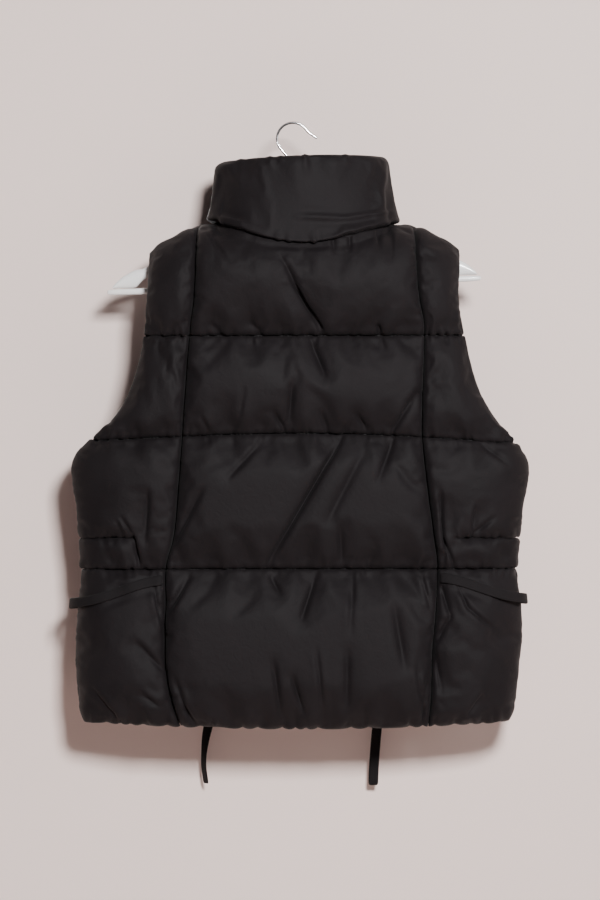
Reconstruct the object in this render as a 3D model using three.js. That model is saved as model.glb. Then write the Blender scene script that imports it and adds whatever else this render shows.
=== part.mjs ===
// A padded vest on a clothes hanger, in millimetres, +Z up.
// The back of the vest faces -Y and the front, with its zip, faces +Y.
// The origin is the underside of the hook's crown, where the hanger hangs.
// Left and right are those of the wearer, so left is towards -X.
import * as THREE from 'three';

// Cloth sizes
const SEAM_WALL = 9; // wall at a seam or a turned edge
const SIDE_WALL = 15; // wall at a quilting line where the vest turns round its side
const PUFF_WALL = 27; // wall in the middle of a padded row
const GAP = 0.3; // between two pieces that are sewn together
const NECK_GAP = 0.9; // under the collar, whose base stands on the neckline
const TIE_WIDTH = 12;
const TIE_THICK = 1.6;
const SECTION_POWER = 2.6; // how square the flattened oval section of the body is
const SHOULDER_ROUND = 75; // height over which the cloth turns over the hanger
const ARMHOLE_TURN = 0.5; // how far the armhole's edge stays from the side, as a share of the section's depth

const UNDERARM = -398; // the lowest point of the armholes
const ARMHOLE_RISE = 70; // height over which an armhole opens to its full width
const BODY_HALF = 240; // half the body's width at the quilting lines
const ROWS_FROM = -150; // where the search for a point of the top row starts

// Hanger sizes
const HANGER_X = 2;
const HANGER_TOP = -83.5;
const HANGER_SLOPE = 0.43;
const HANGER_TILT = 0.0386;
const HANGER_HALF = 5;
const BAR_TOP = -185.5;
const BAR_TALL = 8;
const BAR_HALF = 3;
const WIRE = 1.7;
const HOOK_RADIUS = 19;
const REST_GAP = 0.9; // between the hanger's arms and the cloth that rests on them

// Neck
const NECK_X = 12;
const NECK_HALF = 95;
const NECK_DIP_BACK = 15;
const NECK_DIP_FRONT = 58;
const NECK_ROUND = 75;
const COLLAR_FOOT = 12; // the strip round the neckline that the collar stands on
const COLLAR_CLEAR = 36; // beyond it, the way over which the padding rises under the collar's overhang
const NECK_NEAR = 10; // how far to each side the collar's base looks for what it stands on

// Zip
const ZIP_HALF = 9;
const TEETH_HALF = 3;
const TAPE_THICK = 2;
const TEETH_THICK = 4.4;

const BACK = -1;
const FRONT = 1;

// The inner edges of the body, seen from behind: height, left edge and right edge
const EDGES = [
  { z: -120, left: -164, right: 193 },
  { z: -160, left: -165, right: 192 },
  { z: -206, left: -166, right: 189 },
  { z: -263, left: -173, right: 200 },
  { z: -319, left: -190, right: 217 },
  { z: -347, left: -207, right: 234 },
  { z: -375, left: -232, right: 254 },
  { z: -395, left: -244, right: 262 },
  { z: -420, left: -240, right: 257 },
  { z: -446, left: -236, right: 252 },
  { z: -484, left: -233, right: 248 },
  { z: -521, left: -232, right: 247 },
  { z: -600, left: -236, right: 249 },
  { z: -657, left: -235, right: 244 },
  { z: -720, left: -230, right: 238 },
];

// Half depth of the hollow inside the cloth, behind and in front of the hanger
const DEPTHS = [
  { z: -60, back: 50, front: 48 },
  { z: -140, back: 50, front: 48 },
  { z: -200, back: 42, front: 42 },
  { z: -260, back: 38, front: 38 },
  { z: -362, back: 36, front: 36 },
  { z: -484, back: 34, front: 34 },
  { z: -521, back: 33, front: 33 },
  { z: -620, back: 37, front: 36 },
  { z: -720, back: 34, front: 33 },
];

// The two shaped seams of the back
const BACK_SEAMS = [
  { z: -120, left: -105, right: 135 },
  { z: -195, left: -112, right: 143 },
  { z: -245, left: -119, right: 152 },
  { z: -271, left: -121, right: 151 },
  { z: -362, left: -128, right: 150 },
  { z: -418, left: -132, right: 155 },
  { z: -488, left: -139, right: 164 },
  { z: -517, left: -147, right: 168 },
  { z: -558, left: -147, right: 166 },
  { z: -629, left: -147, right: 161 },
  { z: -664, left: -142, right: 160 },
  { z: -720, left: -126, right: 156 },
];

// Heights of the quilting lines where they reach the left side, the middle and the right side
const LINES = [
  { name: 'chest', left: -250, middle: -249, right: -249 },
  { name: 'underarm', left: -374, middle: -363, right: -376 },
  { name: 'waist_band', left: -484, middle: -484, right: -484 },
  { name: 'waist', left: -522, middle: -521, right: -521 },
  { name: 'hem', left: -701, middle: -708, right: -700 },
];
const BAND_LINE = 2;
const BAND_END_LEFT = -185;
const BAND_END_RIGHT = 190;
const BAND_FADE = 14;

// Folds of the back: a soft trough from one place to another, with its depth and half width
const BACK_FOLDS = [
  { x1: -12, z1: -161, x2: 18, z2: -217, deep: 5, half: 9 },
  { x1: 0, z1: -190, x2: 36, z2: -245, deep: 9, half: 9 },
  { x1: -49, z1: -235, x2: -34, z2: -248, deep: 4, half: 7 },
  { x1: 21, z1: -256, x2: 36, z2: -293, deep: 7, half: 9 },
  { x1: -1, z1: -311, x2: -4, z2: -345, deep: 5, half: 8 },
  { x1: -22, z1: -339, x2: -9, z2: -360, deep: 5, half: 7 },
  { x1: 74, z1: -341, x2: 86, z2: -359, deep: 5, half: 7 },
  { x1: 140, z1: -321, x2: 116, z2: -360, deep: 6, half: 8 },
  { x1: 57, z1: -368, x2: -26, z2: -509, deep: 9, half: 8 },
  { x1: -43, z1: -380, x2: -73, z2: -412, deep: 4, half: 7 },
  { x1: 118, z1: -368, x2: 100, z2: -415, deep: 5, half: 9 },
  { x1: 79, z1: -391, x2: 42, z2: -462, deep: 4, half: 12 },
  { x1: -108, z1: -433, x2: -138, z2: -490, deep: 4, half: 7 },
  { x1: 55, z1: -473, x2: 57, z2: -513, deep: 4, half: 7 },
  { x1: -169, z1: -433, x2: -172, z2: -484, deep: 5, half: 8 },
  { x1: -185, z1: -486, x2: -179, z2: -514, deep: 8, half: 6 },
  { x1: 174, z1: -441, x2: 176, z2: -502, deep: 9, half: 7 },
  { x1: 214, z1: -448, x2: 208, z2: -480, deep: 5, half: 8 },
  { x1: -122, z1: -533, x2: -144, z2: -569, deep: 5, half: 8 },
  { x1: 25, z1: -533, x2: 11, z2: -576, deep: 6, half: 8 },
  { x1: -26, z1: -529, x2: -16, z2: -548, deep: 4, half: 7 },
  { x1: -22, z1: -633, x2: -15, z2: -684, deep: 5, half: 8 },
  { x1: 0, z1: -648, x2: 11, z2: -684, deep: 6, half: 8 },
  { x1: 63, z1: -620, x2: 63, z2: -674, deep: 4, half: 9 },
  { x1: 118, z1: -565, x2: 129, z2: -630, deep: 5, half: 12 },
  { x1: -179, z1: -609, x2: -149, z2: -640, deep: 4, half: 8 },
  { x1: -232, z1: -663, x2: -202, z2: -700, deep: 5, half: 8 },
  { x1: -175, z1: -667, x2: -157, z2: -680, deep: 4, half: 7 },
  { x1: 172, z1: -540, x2: 183, z2: -576, deep: 6, half: 8 },
  { x1: 183, z1: -576, x2: 163, z2: -612, deep: 6, half: 8 },
  { x1: 163, z1: -612, x2: 172, z2: -658, deep: 5, half: 8 },
  { x1: 222, z1: -666, x2: 204, z2: -691, deep: 5, half: 8 },
];

// Folds of the front, which are like the ones behind
const FRONT_FOLDS = [
  { x1: -60, z1: -200, x2: -95, z2: -244, deep: 6, half: 10 },
  { x1: 90, z1: -205, x2: 115, z2: -246, deep: 5, half: 10 },
  { x1: -110, z1: -262, x2: -122, z2: -300, deep: 5, half: 10 },
  { x1: 62, z1: -318, x2: 50, z2: -358, deep: 5, half: 10 },
  { x1: -44, z1: -372, x2: -96, z2: -470, deep: 7, half: 10 },
  { x1: 150, z1: -380, x2: 88, z2: -500, deep: 8, half: 10 },
  { x1: -160, z1: -440, x2: -166, z2: -500, deep: 6, half: 10 },
  { x1: 188, z1: -446, x2: 184, z2: -478, deep: 5, half: 10 },
  { x1: -60, z1: -534, x2: -74, z2: -590, deep: 6, half: 10 },
  { x1: 44, z1: -532, x2: 58, z2: -580, deep: 5, half: 10 },
  { x1: 160, z1: -545, x2: 150, z2: -610, deep: 6, half: 11 },
  { x1: -188, z1: -620, x2: -172, z2: -690, deep: 5, half: 10 },
  { x1: -30, z1: -640, x2: -40, z2: -696, deep: 6, half: 10 },
  { x1: 66, z1: -630, x2: 78, z2: -694, deep: 5, half: 10 },
  { x1: 190, z1: -650, x2: 178, z2: -695, deep: 5, half: 10 },
];

// Gathers beside each quilting line and the hem: a share of the puff that comes and goes along the line
const GATHERS = [
  { length: 37, share: 0.16, start: 0.4 },
  { length: 59, share: 0.13, start: 2.1 },
];
const GATHER_REACH = 26;
const PUFF_REACH = 62; // from a quilting line to the full height of the padding, at most
const BELOW_SHARE = 0.55; // of a row's height, over which its padding rises under the line above it
const ABOVE_SHARE = 0.33; // the same over the line below it, where the padding hangs
const EDGE_REACH = 44; // from a turned edge or a side seam to the full height of the padding
const SEAM_REACH = 16; // the same from one of the two seams down the back
const SEAM_SHARE = 0.5; // how much of the padding's height is left at those seams
const BAND_REACH = 16; // the same from the short quilting line at each side

const clamp = (v, low, high) => Math.min(Math.max(v, low), high);
const lerp = (a, b, t) => a + (b - a) * t;

function smooth(t) {
  const c = clamp(t, 0, 1);
  return c * c * (3 - 2 * c);
}

// A column of a table at one height, on a smooth curve through its rows, which run downwards
function read(rows, column, z) {
  const last = rows.length - 1;
  if (z >= rows[0].z) return rows[0][column];
  if (z <= rows[last].z) return rows[last][column];
  let k = 0;
  while (rows[k + 1].z > z) k += 1;
  const slope = (a, b) => (rows[b][column] - rows[a][column]) / (rows[b].z - rows[a].z);
  const here = slope(k, k + 1);
  const before = k > 0 ? (slope(k - 1, k) + here) / 2 : here;
  const after = k + 1 < last ? (here + slope(k + 1, k + 2)) / 2 : here;
  const span = rows[k + 1].z - rows[k].z;
  const t = (z - rows[k].z) / span;
  const a = rows[k][column];
  const b = rows[k + 1][column];
  const t2 = t * t;
  const t3 = t2 * t;
  const ends = a * (2 * t3 - 3 * t2 + 1) + b * (3 * t2 - 2 * t3);
  return ends + span * (before * (t3 - 2 * t2 + t) + after * (t3 - t2));
}

// A closed body through rings of points; each end is closed by a strip across its ring
function ringBody(rings) {
  const count = rings[0].length;
  const positions = rings.flat().flatMap((p) => [p.x, p.y, p.z]);
  const faces = [];
  for (let j = 0; j + 1 < rings.length; j += 1) {
    for (let i = 0; i < count; i += 1) {
      const a = j * count + i;
      const b = j * count + ((i + 1) % count);
      // the ring's last side is cut across the other way, so that two panels meet along the same lines
      const quad = i === count - 1
        ? [[a, b, a + count], [b, b + count, a + count]]
        : [[a, b, b + count], [a, b + count, a + count]];
      faces.push(...quad);
    }
  }
  const closeEnd = (first, flip) => {
    for (let i = 0; i + 1 < count / 2; i += 1) {
      const a = first + i;
      const b = first + i + 1;
      const c = first + count - 2 - i;
      const d = first + count - 1 - i;
      const pair = c === b ? [[a, b, d]] : [[a, b, c], [a, c, d]];
      for (const f of pair) faces.push(flip ? [f[0], f[2], f[1]] : f);
    }
  };
  closeEnd(0, true);
  closeEnd((rings.length - 1) * count, false);
  const at = (i) => new THREE.Vector3(positions[3 * i], positions[3 * i + 1], positions[3 * i + 2]);
  const volume = faces.reduce((sum, [a, b, c]) => sum + at(a).dot(at(b).cross(at(c))), 0);
  const index = faces.flatMap(([a, b, c]) => (volume < 0 ? [a, c, b] : [a, b, c]));
  const geometry = new THREE.BufferGeometry();
  geometry.setAttribute('position', new THREE.Float32BufferAttribute(positions, 3));
  geometry.setIndex(index);
  geometry.computeVertexNormals();
  return geometry;
}

// The hanger's top edge, on which the shoulders rest
function hangerTop(x) {
  return HANGER_TOP - HANGER_SLOPE * Math.abs(x - HANGER_X) + HANGER_TILT * x;
}

// Height of the fold where the cloth turns over the shoulder; over the neck it goes on as a hump
function ridge(face, x) {
  const across = (x - NECK_X) / NECK_HALF;
  if (Math.abs(across) >= 1) return hangerTop(x) + REST_GAP;
  const dip = face === BACK ? NECK_DIP_BACK : NECK_DIP_FRONT;
  const left = hangerTop(NECK_X - NECK_HALF);
  const right = hangerTop(NECK_X + NECK_HALF);
  const level = lerp(left, right, (across + 1) / 2) + REST_GAP;
  return level + (NECK_ROUND - dip) * (1 - across * across);
}

// The body's top edge: the shoulder seam, and between the shoulders the neckline
function topEdge(face, x) {
  const across = (x - NECK_X) / NECK_HALF;
  if (Math.abs(across) >= 1) return ridge(face, x);
  return ridge(face, x) - NECK_ROUND * (1 - across * across);
}

// How far a section of the body has opened, from 0 on the shoulder's fold to 1
function turnOver(drop) {
  const left = 1 - clamp(drop / SHOULDER_ROUND, 0, 1);
  return Math.sqrt(1 - left * left);
}

// The section of one face at one height
function sectionAt(z) {
  const left = read(EDGES, 'left', z);
  const right = read(EDGES, 'right', z);
  const above = smooth((z - UNDERARM) / ARMHOLE_RISE);
  const edgeDepth = ARMHOLE_TURN * Math.sqrt(above);
  // a section whose depth is edgeDepth at its edges would be closed this much further out
  const edge = (1 - edgeDepth ** SECTION_POWER) ** (1 / SECTION_POWER);
  return { middle: (left + right) / 2, half: (right - left) / 2 / edge, edge };
}

function bodyPoint(face, x, z) {
  const { middle, half } = sectionAt(z);
  const across = clamp(Math.abs(x - middle) / half, 0, 1);
  const depth = read(DEPTHS, face === BACK ? 'back' : 'front', z);
  const open = turnOver(ridge(face, x) - z);
  const y = depth * open * (1 - across ** SECTION_POWER) ** (1 / SECTION_POWER);
  return new THREE.Vector3(x, face * (y + GAP / 2), z);
}

// x at a share of the way along the section from one place to another; places are in half widths
function alongSection(face, z, from, to, share) {
  const { middle, half } = sectionAt(z);
  const depth = read(DEPTHS, face === BACK ? 'back' : 'front', z);
  const steps = 48;
  const start = Math.acos(clamp(-from, -1, 1));
  const end = Math.acos(clamp(-to, -1, 1));
  const places = [];
  let length = 0;
  let last = null;
  for (let i = 0; i <= steps; i += 1) {
    const q = -Math.cos(lerp(start, end, i / steps));
    const y = depth * (1 - Math.min(Math.abs(q), 1) ** SECTION_POWER) ** (1 / SECTION_POWER);
    const here = new THREE.Vector2(half * q, y);
    if (last) length += here.distanceTo(last);
    places.push({ q, length });
    last = here;
  }
  const want = share * length;
  let k = 0;
  while (k < steps - 1 && places[k + 1].length < want) k += 1;
  const t = (want - places[k].length) / (places[k + 1].length - places[k].length);
  return middle + half * lerp(places[k].q, places[k + 1].q, t);
}

function lineHeight(line, x) {
  const t = clamp((x - NECK_X) / BODY_HALF, -1, 1);
  const side = t < 0 ? line.left : line.right;
  return lerp(line.middle, side, t * t);
}

// Rows of points down the body: each padded row's share of the way between its two lines
function rowShares(counts) {
  const rows = [];
  counts.forEach((count, k) => {
    for (let i = 0; i < count; i += 1) {
      const t = i / count;
      rows.push({ band: k, share: k === 0 ? t ** 1.7 : (1 - Math.cos(Math.PI * t)) / 2 * 0.5 + t * 0.5 });
    }
  });
  rows.push({ band: counts.length - 1, share: 1 });
  return rows;
}

// Grid of one face's inner points. Columns go from left to right, each at a share of a stretch between seams
function innerGrid(face, stretches, rows) {
  const columns = [];
  for (const stretch of stretches) {
    const grid = [];
    for (let i = 0; i <= stretch.count; i += 1) {
      grid.push(rows.map((row) => {
        let x = 0;
        let z = lerp(row.band === 0 ? ROWS_FROM : LINES[row.band - 1].middle, LINES[row.band].middle, row.share);
        for (let n = 0; n < 6; n += 1) {
          const section = sectionAt(z);
          const from = stretch.from(z, section);
          const to = stretch.to(z, section);
          x = alongSection(face, z, from, to, i / stretch.count);
          const high = row.band === 0 ? topEdge(face, x) : lineHeight(LINES[row.band - 1], x);
          z = lerp(high, lineHeight(LINES[row.band], x), row.share);
        }
        return bodyPoint(face, x, z);
      }));
    }
    columns.push(grid);
  }
  return columns;
}

const edgeLeft = (z, section) => -section.edge;
const edgeRight = (z, section) => section.edge;
const backSeam = (side) => (z, section) => (read(BACK_SEAMS, side, z) - section.middle) / section.half;
const zipEdge = (side) => (z, section) => (zipX(z) + side * ZIP_HALF - section.middle) / section.half;

function zipX(z) {
  return lerp(NECK_X, 8, smooth((-120 - z) / 400));
}

// Normals of a grid of points, turned to the side that outwards gives for a point
function gridNormals(points, outwards) {
  const last = points.length - 1;
  const rows = points[0].length - 1;
  return points.map((column, i) => column.map((p, j) => {
    const across = points[Math.min(i + 1, last)][j].clone().sub(points[Math.max(i - 1, 0)][j]);
    const down = column[Math.min(j + 1, rows)].clone().sub(column[Math.max(j - 1, 0)]);
    const normal = across.cross(down).normalize();
    return normal.dot(outwards(p)) < 0 ? normal.negate() : normal;
  }));
}

// Normals of the body; its shoulder seams and side seams lie in the plane between the two faces
function bodyNormals(points, face) {
  const normals = gridNormals(points, () => new THREE.Vector3(0, face, 0));
  points.forEach((column, i) => column.forEach((p, j) => {
    if (Math.abs(p.y) < GAP) normals[i][j].setY(0).normalize();
  }));
  return normals;
}

function toSegment(x, z, fold) {
  const dx = fold.x2 - fold.x1;
  const dz = fold.z2 - fold.z1;
  const t = clamp(((x - fold.x1) * dx + (z - fold.z1) * dz) / (dx * dx + dz * dz), 0, 1);
  const away = Math.hypot(x - fold.x1 - t * dx, z - fold.z1 - t * dz);
  return { away, t };
}

// The round rise of padding from a seam, 0 at the seam and 1 beyond its reach
function rise(distance, reach) {
  const left = 1 - clamp(distance / reach, 0, 1);
  return Math.sqrt(1 - left * left);
}

function foldDepth(folds, x, z) {
  let deep = 0;
  for (const fold of folds) {
    const { away, t } = toSegment(x, z, fold);
    const taper = 0.55 + 0.45 * Math.sin(Math.PI * clamp(t, 0.02, 0.98));
    deep = Math.max(deep, fold.deep * taper * Math.exp(-((away / fold.half) ** 2)));
  }
  return deep;
}

// The rise of the padding between two quilting lines; it hangs, so it is fuller over the lower one
function betweenLines({ up, down }) {
  const tall = up + down;
  const below = clamp(tall * BELOW_SHARE, 1, PUFF_REACH);
  const above = clamp(tall * ABOVE_SHARE, 1, PUFF_REACH);
  return rise(up, below) * rise(down, above);
}

// Wall thickness at a point of a panel, from its distances to the seams round it
function wallAt(face, p, toSides, toLines) {
  const { middle, half } = sectionAt(p.z);
  const out = clamp(Math.abs(p.x - middle) / half, 0, 1);
  const below = smooth((UNDERARM + 10 - p.z) / 40) * smooth((p.z - LINES[4].middle + 4) / 30);
  const seam = lerp(SEAM_WALL, SIDE_WALL, below * out ** 5);
  const inBand = Math.max(
    smooth((BAND_END_LEFT - p.x) / BAND_FADE + 0.5),
    smooth((p.x - BAND_END_RIGHT) / BAND_FADE + 0.5),
  );
  const bandGroove = 1 - inBand * (1 - rise(toLines.band, BAND_REACH));
  const toNeck = Math.min(...NECKLINE.map((q) => q.distanceTo(p)));
  const beyondCollar = rise(toNeck - COLLAR_FOOT, COLLAR_CLEAR);
  const acrossSeams = rise(toSides.edge, EDGE_REACH) * lerp(SEAM_SHARE, 1, rise(toSides.seam, SEAM_REACH));
  const puff = acrossSeams * betweenLines(toLines) * bandGroove * beyondCollar;
  const beside = Math.exp(-((Math.min(toLines.up, toLines.down) / GATHER_REACH) ** 2));
  let gather = 0;
  for (const wave of GATHERS) {
    gather += wave.share * Math.sin((2 * Math.PI * p.x) / wave.length + wave.start + face + 0.02 * p.z);
  }
  const folds = face === BACK ? BACK_FOLDS : FRONT_FOLDS;
  const full = (PUFF_WALL - seam) * puff * (1 + gather * beside);
  return Math.max(seam + full - foldDepth(folds, p.x, p.z) * puff, seam * 0.8);
}

// Places along the neckline, from shoulder to shoulder on each face
const NECKLINE = [BACK, FRONT].flatMap((face) => Array.from({ length: 41 }, (_, k) => {
  const x = NECK_X - NECK_HALF * Math.cos((Math.PI * k) / 40);
  return bodyPoint(face, x, topEdge(face, x));
}));

// Distances along the grid's lines from a point to the seams round it; sewn tells which sides are seams
function seamDistances(grid, i, j, rows, sewn) {
  const column = grid[i];
  const step = (a, b) => grid[a][j].distanceTo(grid[b][j]);
  let before = 0;
  let after = 0;
  for (let k = 0; k < i; k += 1) before += step(k, k + 1);
  for (let k = i; k + 1 < grid.length; k += 1) after += step(k, k + 1);
  const isLine = (k) => k === 0 || k === rows.length - 1 || rows[k].share === 0;
  const isBand = (k) => isLine(k) && rows[k].band === BAND_LINE + 1 && rows[k].share === 0;
  const walk = (from, towards, stop) => {
    let distance = 0;
    for (let k = from; k >= 0 && k < rows.length; k += towards) {
      if (stop(k)) return distance;
      const next = clamp(k + towards, 0, rows.length - 1);
      distance += column[k].distanceTo(column[next]);
      if (next === k) return distance;
    }
    return distance;
  };
  const solid = (k) => isLine(k) && !isBand(k);
  const up = walk(j, -1, solid);
  const down = walk(j, 1, solid);
  const band = Math.min(walk(j, -1, (k) => isBand(k)), walk(j, 1, (k) => isBand(k)));
  const hasBand = rows[j].band === BAND_LINE || rows[j].band === BAND_LINE + 1;
  return {
    toSides: {
      edge: Math.min(sewn[0] ? Infinity : before, sewn[1] ? Infinity : after),
      seam: Math.min(sewn[0] ? before : Infinity, sewn[1] ? after : Infinity),
    },
    toLines: { up, down, band: hasBand ? band : Infinity },
  };
}

// Turns a grid of inner points and their normals into a panel, with outer points over the padding
function panelWall(face, grid, normals, rows, sewn) {
  const outer = grid.map((column, i) => column.map((p, j) => {
    const { toSides, toLines } = seamDistances(grid, i, j, rows, sewn);
    return p.clone().addScaledVector(normals[i][j], wallAt(face, p, toSides, toLines));
  }));
  return { inner: grid, outer };
}

// Moves an edge column of a panel away from its neighbour by half the gap
function trimEdge(panel, edge, inside) {
  for (const points of [panel.inner, panel.outer]) {
    points[edge] = points[edge].map((p, j) => {
      const way = points[inside][j].clone().sub(p).normalize();
      return p.clone().addScaledVector(way, GAP / 2);
    });
  }
}

function panelBody({ inner, outer }) {
  const rings = inner[0].map((_, j) => [
    ...outer.map((column) => column[j]),
    ...inner.map((column) => column[j]).reverse(),
  ]);
  return ringBody(rings);
}

// The panels of one face: one grid over all its stretches, cut apart at the seams
function makeFace(face, stretches, rows) {
  const grids = innerGrid(face, stretches, rows);
  const joined = [];
  const firsts = [];
  grids.forEach((grid, k) => {
    const shared = k > 0 && stretches[k].joined;
    firsts.push(shared ? joined.length - 1 : joined.length);
    joined.push(...(shared ? grid.slice(1) : grid));
  });
  const normals = bodyNormals(joined, face);
  return stretches.map((stretch, k) => {
    const from = firsts[k];
    const part = joined.slice(from, from + stretch.count + 1);
    const sewn = [stretch.joined, Boolean(stretches[k + 1]?.joined)];
    const panel = panelWall(face, part, normals.slice(from, from + stretch.count + 1), rows, sewn);
    const last = stretch.count;
    if (sewn[0]) trimEdge(panel, 0, 1);
    if (sewn[1]) trimEdge(panel, last, last - 1);
    return panel;
  });
}

const BACK_ROWS = rowShares([9, 8, 8, 4, 10]);
const FRONT_ROWS = rowShares([9, 6, 6, 4, 8]);
const [sideLeft, centre, sideRight] = makeFace(BACK, [
  { count: 10, from: edgeLeft, to: backSeam('left'), joined: false },
  { count: 19, from: backSeam('left'), to: backSeam('right'), joined: true },
  { count: 10, from: backSeam('right'), to: edgeRight, joined: true },
], BACK_ROWS);
const [frontLeft, frontRight] = makeFace(FRONT, [
  { count: 13, from: edgeLeft, to: zipEdge(-1), joined: false },
  { count: 13, from: zipEdge(1), to: edgeRight, joined: false },
], FRONT_ROWS);

// The stand collar: a padded ring from the neckline up, open at the zip
const COLLAR_COLUMNS = 36;
const COLLAR_ROWS = 9;
const COLLAR_TOP_HALF = 80;
const COLLAR_TOP_DEPTH = 42;
const COLLAR_TOP = -42;
const COLLAR_SIDE_DROP = 5;
const COLLAR_TILT = 0.035;
const COLLAR_WALL = 20;
const COLLAR_EDGE_WALL = 12;
const COLLAR_BASE_REACH = 8;
const COLLAR_TOP_REACH = 15;
const COLLAR_TAPER = 1.8; // how soon above its base the ring narrows
const COLLAR_ZIP_REACH = 30;
const COLLAR_SAG = 5; // how far the padding sinks over the neckline

// The highest point of the body's top edge near a place, on the inside or the outside of its wall
function edgeHeight(face, x) {
  const panels = face === BACK ? [sideLeft, centre, sideRight] : [frontLeft, frontRight];
  let high = -Infinity;
  for (const panel of panels) {
    for (const points of [panel.inner, panel.outer]) {
      for (let i = 0; i + 1 < points.length; i += 1) {
        const a = points[i][0];
        const b = points[i + 1][0];
        if (Math.abs(a.x - x) < NECK_NEAR) high = Math.max(high, a.z);
        for (const near of [x - NECK_NEAR, x, x + NECK_NEAR]) {
          const t = (near - a.x) / (b.x - a.x);
          if (t >= 0 && t <= 1) high = Math.max(high, lerp(a.z, b.z, t));
        }
      }
    }
  }
  return high;
}

function collarBase(turn) {
  const x = NECK_X - NECK_HALF * Math.sin(turn);
  const face = Math.cos(turn) > 0 ? FRONT : BACK;
  return bodyPoint(face, x, topEdge(face, x)).setZ(edgeHeight(face, x) + NECK_GAP);
}

function collarTop(turn) {
  const x = NECK_X - COLLAR_TOP_HALF * Math.sin(turn);
  const z = COLLAR_TOP - COLLAR_SIDE_DROP * Math.sin(turn) ** 2 + COLLAR_TILT * (x - NECK_X);
  return new THREE.Vector3(x, COLLAR_TOP_DEPTH * Math.cos(turn), z);
}

function makeCollar() {
  const first = Math.asin(ZIP_HALF / NECK_HALF);
  const inner = [];
  for (let i = 0; i <= COLLAR_COLUMNS; i += 1) {
    const turn = lerp(first, 2 * Math.PI - first, i / COLLAR_COLUMNS);
    const column = [];
    for (let j = 0; j <= COLLAR_ROWS; j += 1) {
      const t = j / COLLAR_ROWS;
      const share = lerp(t, (1 - Math.cos(Math.PI * t)) / 2, 0.6);
      const p = collarBase(turn);
      const z = lerp(p.z, collarTop(turn).z, share);
      p.lerp(collarTop(turn), 1 - (1 - share) ** COLLAR_TAPER).setZ(z);
      // the two edges at the zip run straight up
      if (i === 0) p.x = NECK_X - ZIP_HALF;
      if (i === COLLAR_COLUMNS) p.x = NECK_X + ZIP_HALF;
      column.push(p);
    }
    inner.push(column);
  }
  const normals = gridNormals(inner, (p) => new THREE.Vector3(p.x - NECK_X, p.y, 0));
  const outer = inner.map((column, i) => column.map((p, j) => {
    const normal = normals[i][j];
    if (j === 0) normal.setZ(0).normalize();
    let below = 0;
    let above = 0;
    for (let k = 0; k < j; k += 1) below += column[k].distanceTo(column[k + 1]);
    for (let k = j; k < COLLAR_ROWS; k += 1) above += column[k].distanceTo(column[k + 1]);
    const toZip = p.y < 0 ? Infinity : Math.abs(p.x - NECK_X) - ZIP_HALF;
    const seam = lerp(SEAM_WALL, COLLAR_EDGE_WALL, j / COLLAR_ROWS);
    const wave = GATHERS.reduce((sum, g) => sum + g.share * Math.sin((2 * Math.PI * p.x) / g.length + g.start), 0);
    const beside = Math.exp(-((above / GATHER_REACH) ** 2));
    const puff = rise(below, COLLAR_BASE_REACH) * rise(above, COLLAR_TOP_REACH) * rise(toZip, COLLAR_ZIP_REACH);
    const sag = COLLAR_SAG * rise(toZip, COLLAR_ZIP_REACH) * (j === 0 ? 0 : (1 - j / COLLAR_ROWS) ** 2);
    const place = p.clone().addScaledVector(normal, seam + (COLLAR_WALL - seam) * puff * (1 + wave * beside));
    return place.setZ(place.z - sag);
  }));
  return { inner, outer };
}
const collar = makeCollar();

// A place on a panel's outer wall: its column, which may lie between two, and its height
function wallAtColumn(panel, column, z) {
  const last = panel.outer.length - 1;
  const i = clamp(Math.floor(column), 0, last - 1);
  const t = clamp(column - i, 0, 1);
  const mix = (points, j) => points[i][j].clone().lerp(points[i + 1][j], t);
  let j = 0;
  while (j < panel.outer[0].length - 2 && mix(panel.outer, j + 1).z > z) j += 1;
  const high = mix(panel.outer, j);
  const low = mix(panel.outer, j + 1);
  const s = clamp((z - high.z) / (low.z - high.z), 0, 1);
  const place = high.lerp(low, s);
  const inside = mix(panel.inner, j).lerp(mix(panel.inner, j + 1), s);
  return { place, normal: place.clone().sub(inside).normalize() };
}

// The same at a distance to the side, for a panel whose columns follow each other in x
function wallAtX(panel, x, z) {
  let low = 0;
  let high = panel.outer.length - 1;
  for (let n = 0; n < 24; n += 1) {
    const column = (low + high) / 2;
    if (wallAtColumn(panel, column, z).place.x < x) low = column;
    else high = column;
  }
  return wallAtColumn(panel, low, z);
}

// A flat strip along stations; each holds the places across the strip's middle surface and their normals
function strip(stations, halfThick) {
  return ringBody(stations.map((places) => {
    const moved = (side) => places.map(({ place, normal }) => place.clone().addScaledVector(normal, side * halfThick));
    return [...moved(1), ...moved(-1).reverse()];
  }));
}

// The ties: sewn into the back's seams under the waist line, round the side, through a loop on the front and down
const TIE_SEAT = 1.1;
const TIE_RISE = 0.9; // how much higher a tie lies between its seam and its loop
const TIE_TURN = 16;
const TIE_STEP = 14;
const TIES = {
  left: {
    side: 'left',
    seamZ: -534,
    droop: 30,
    loose: 7,
    loopX: -116,
    loopZ: -549,
    tail: [
      { z: -640, x: -100 },
      { z: -705, x: -100 },
      { z: -727, x: -104 },
      { z: -755, x: -106 },
      { z: -778, x: -103 },
    ],
    twist: 1.05,
  },
  right: {
    side: 'right',
    seamZ: -531,
    droop: 27,
    loose: 6,
    loopX: 116,
    loopZ: -547,
    tail: [
      { z: -640, x: 101 },
      { z: -705, x: 100 },
      { z: -727, x: 98 },
      { z: -755, x: 96 },
      { z: -780, x: 95 },
    ],
    twist: 0.15,
  },
};
const LOOP_HALF = 5;
const LOOP_REACH = 13;
const LOOP_THICK = 1.4;
const TAIL_ROLL_FROM = -690;

const SIDEWAYS = [-1, 0, 1];

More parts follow.
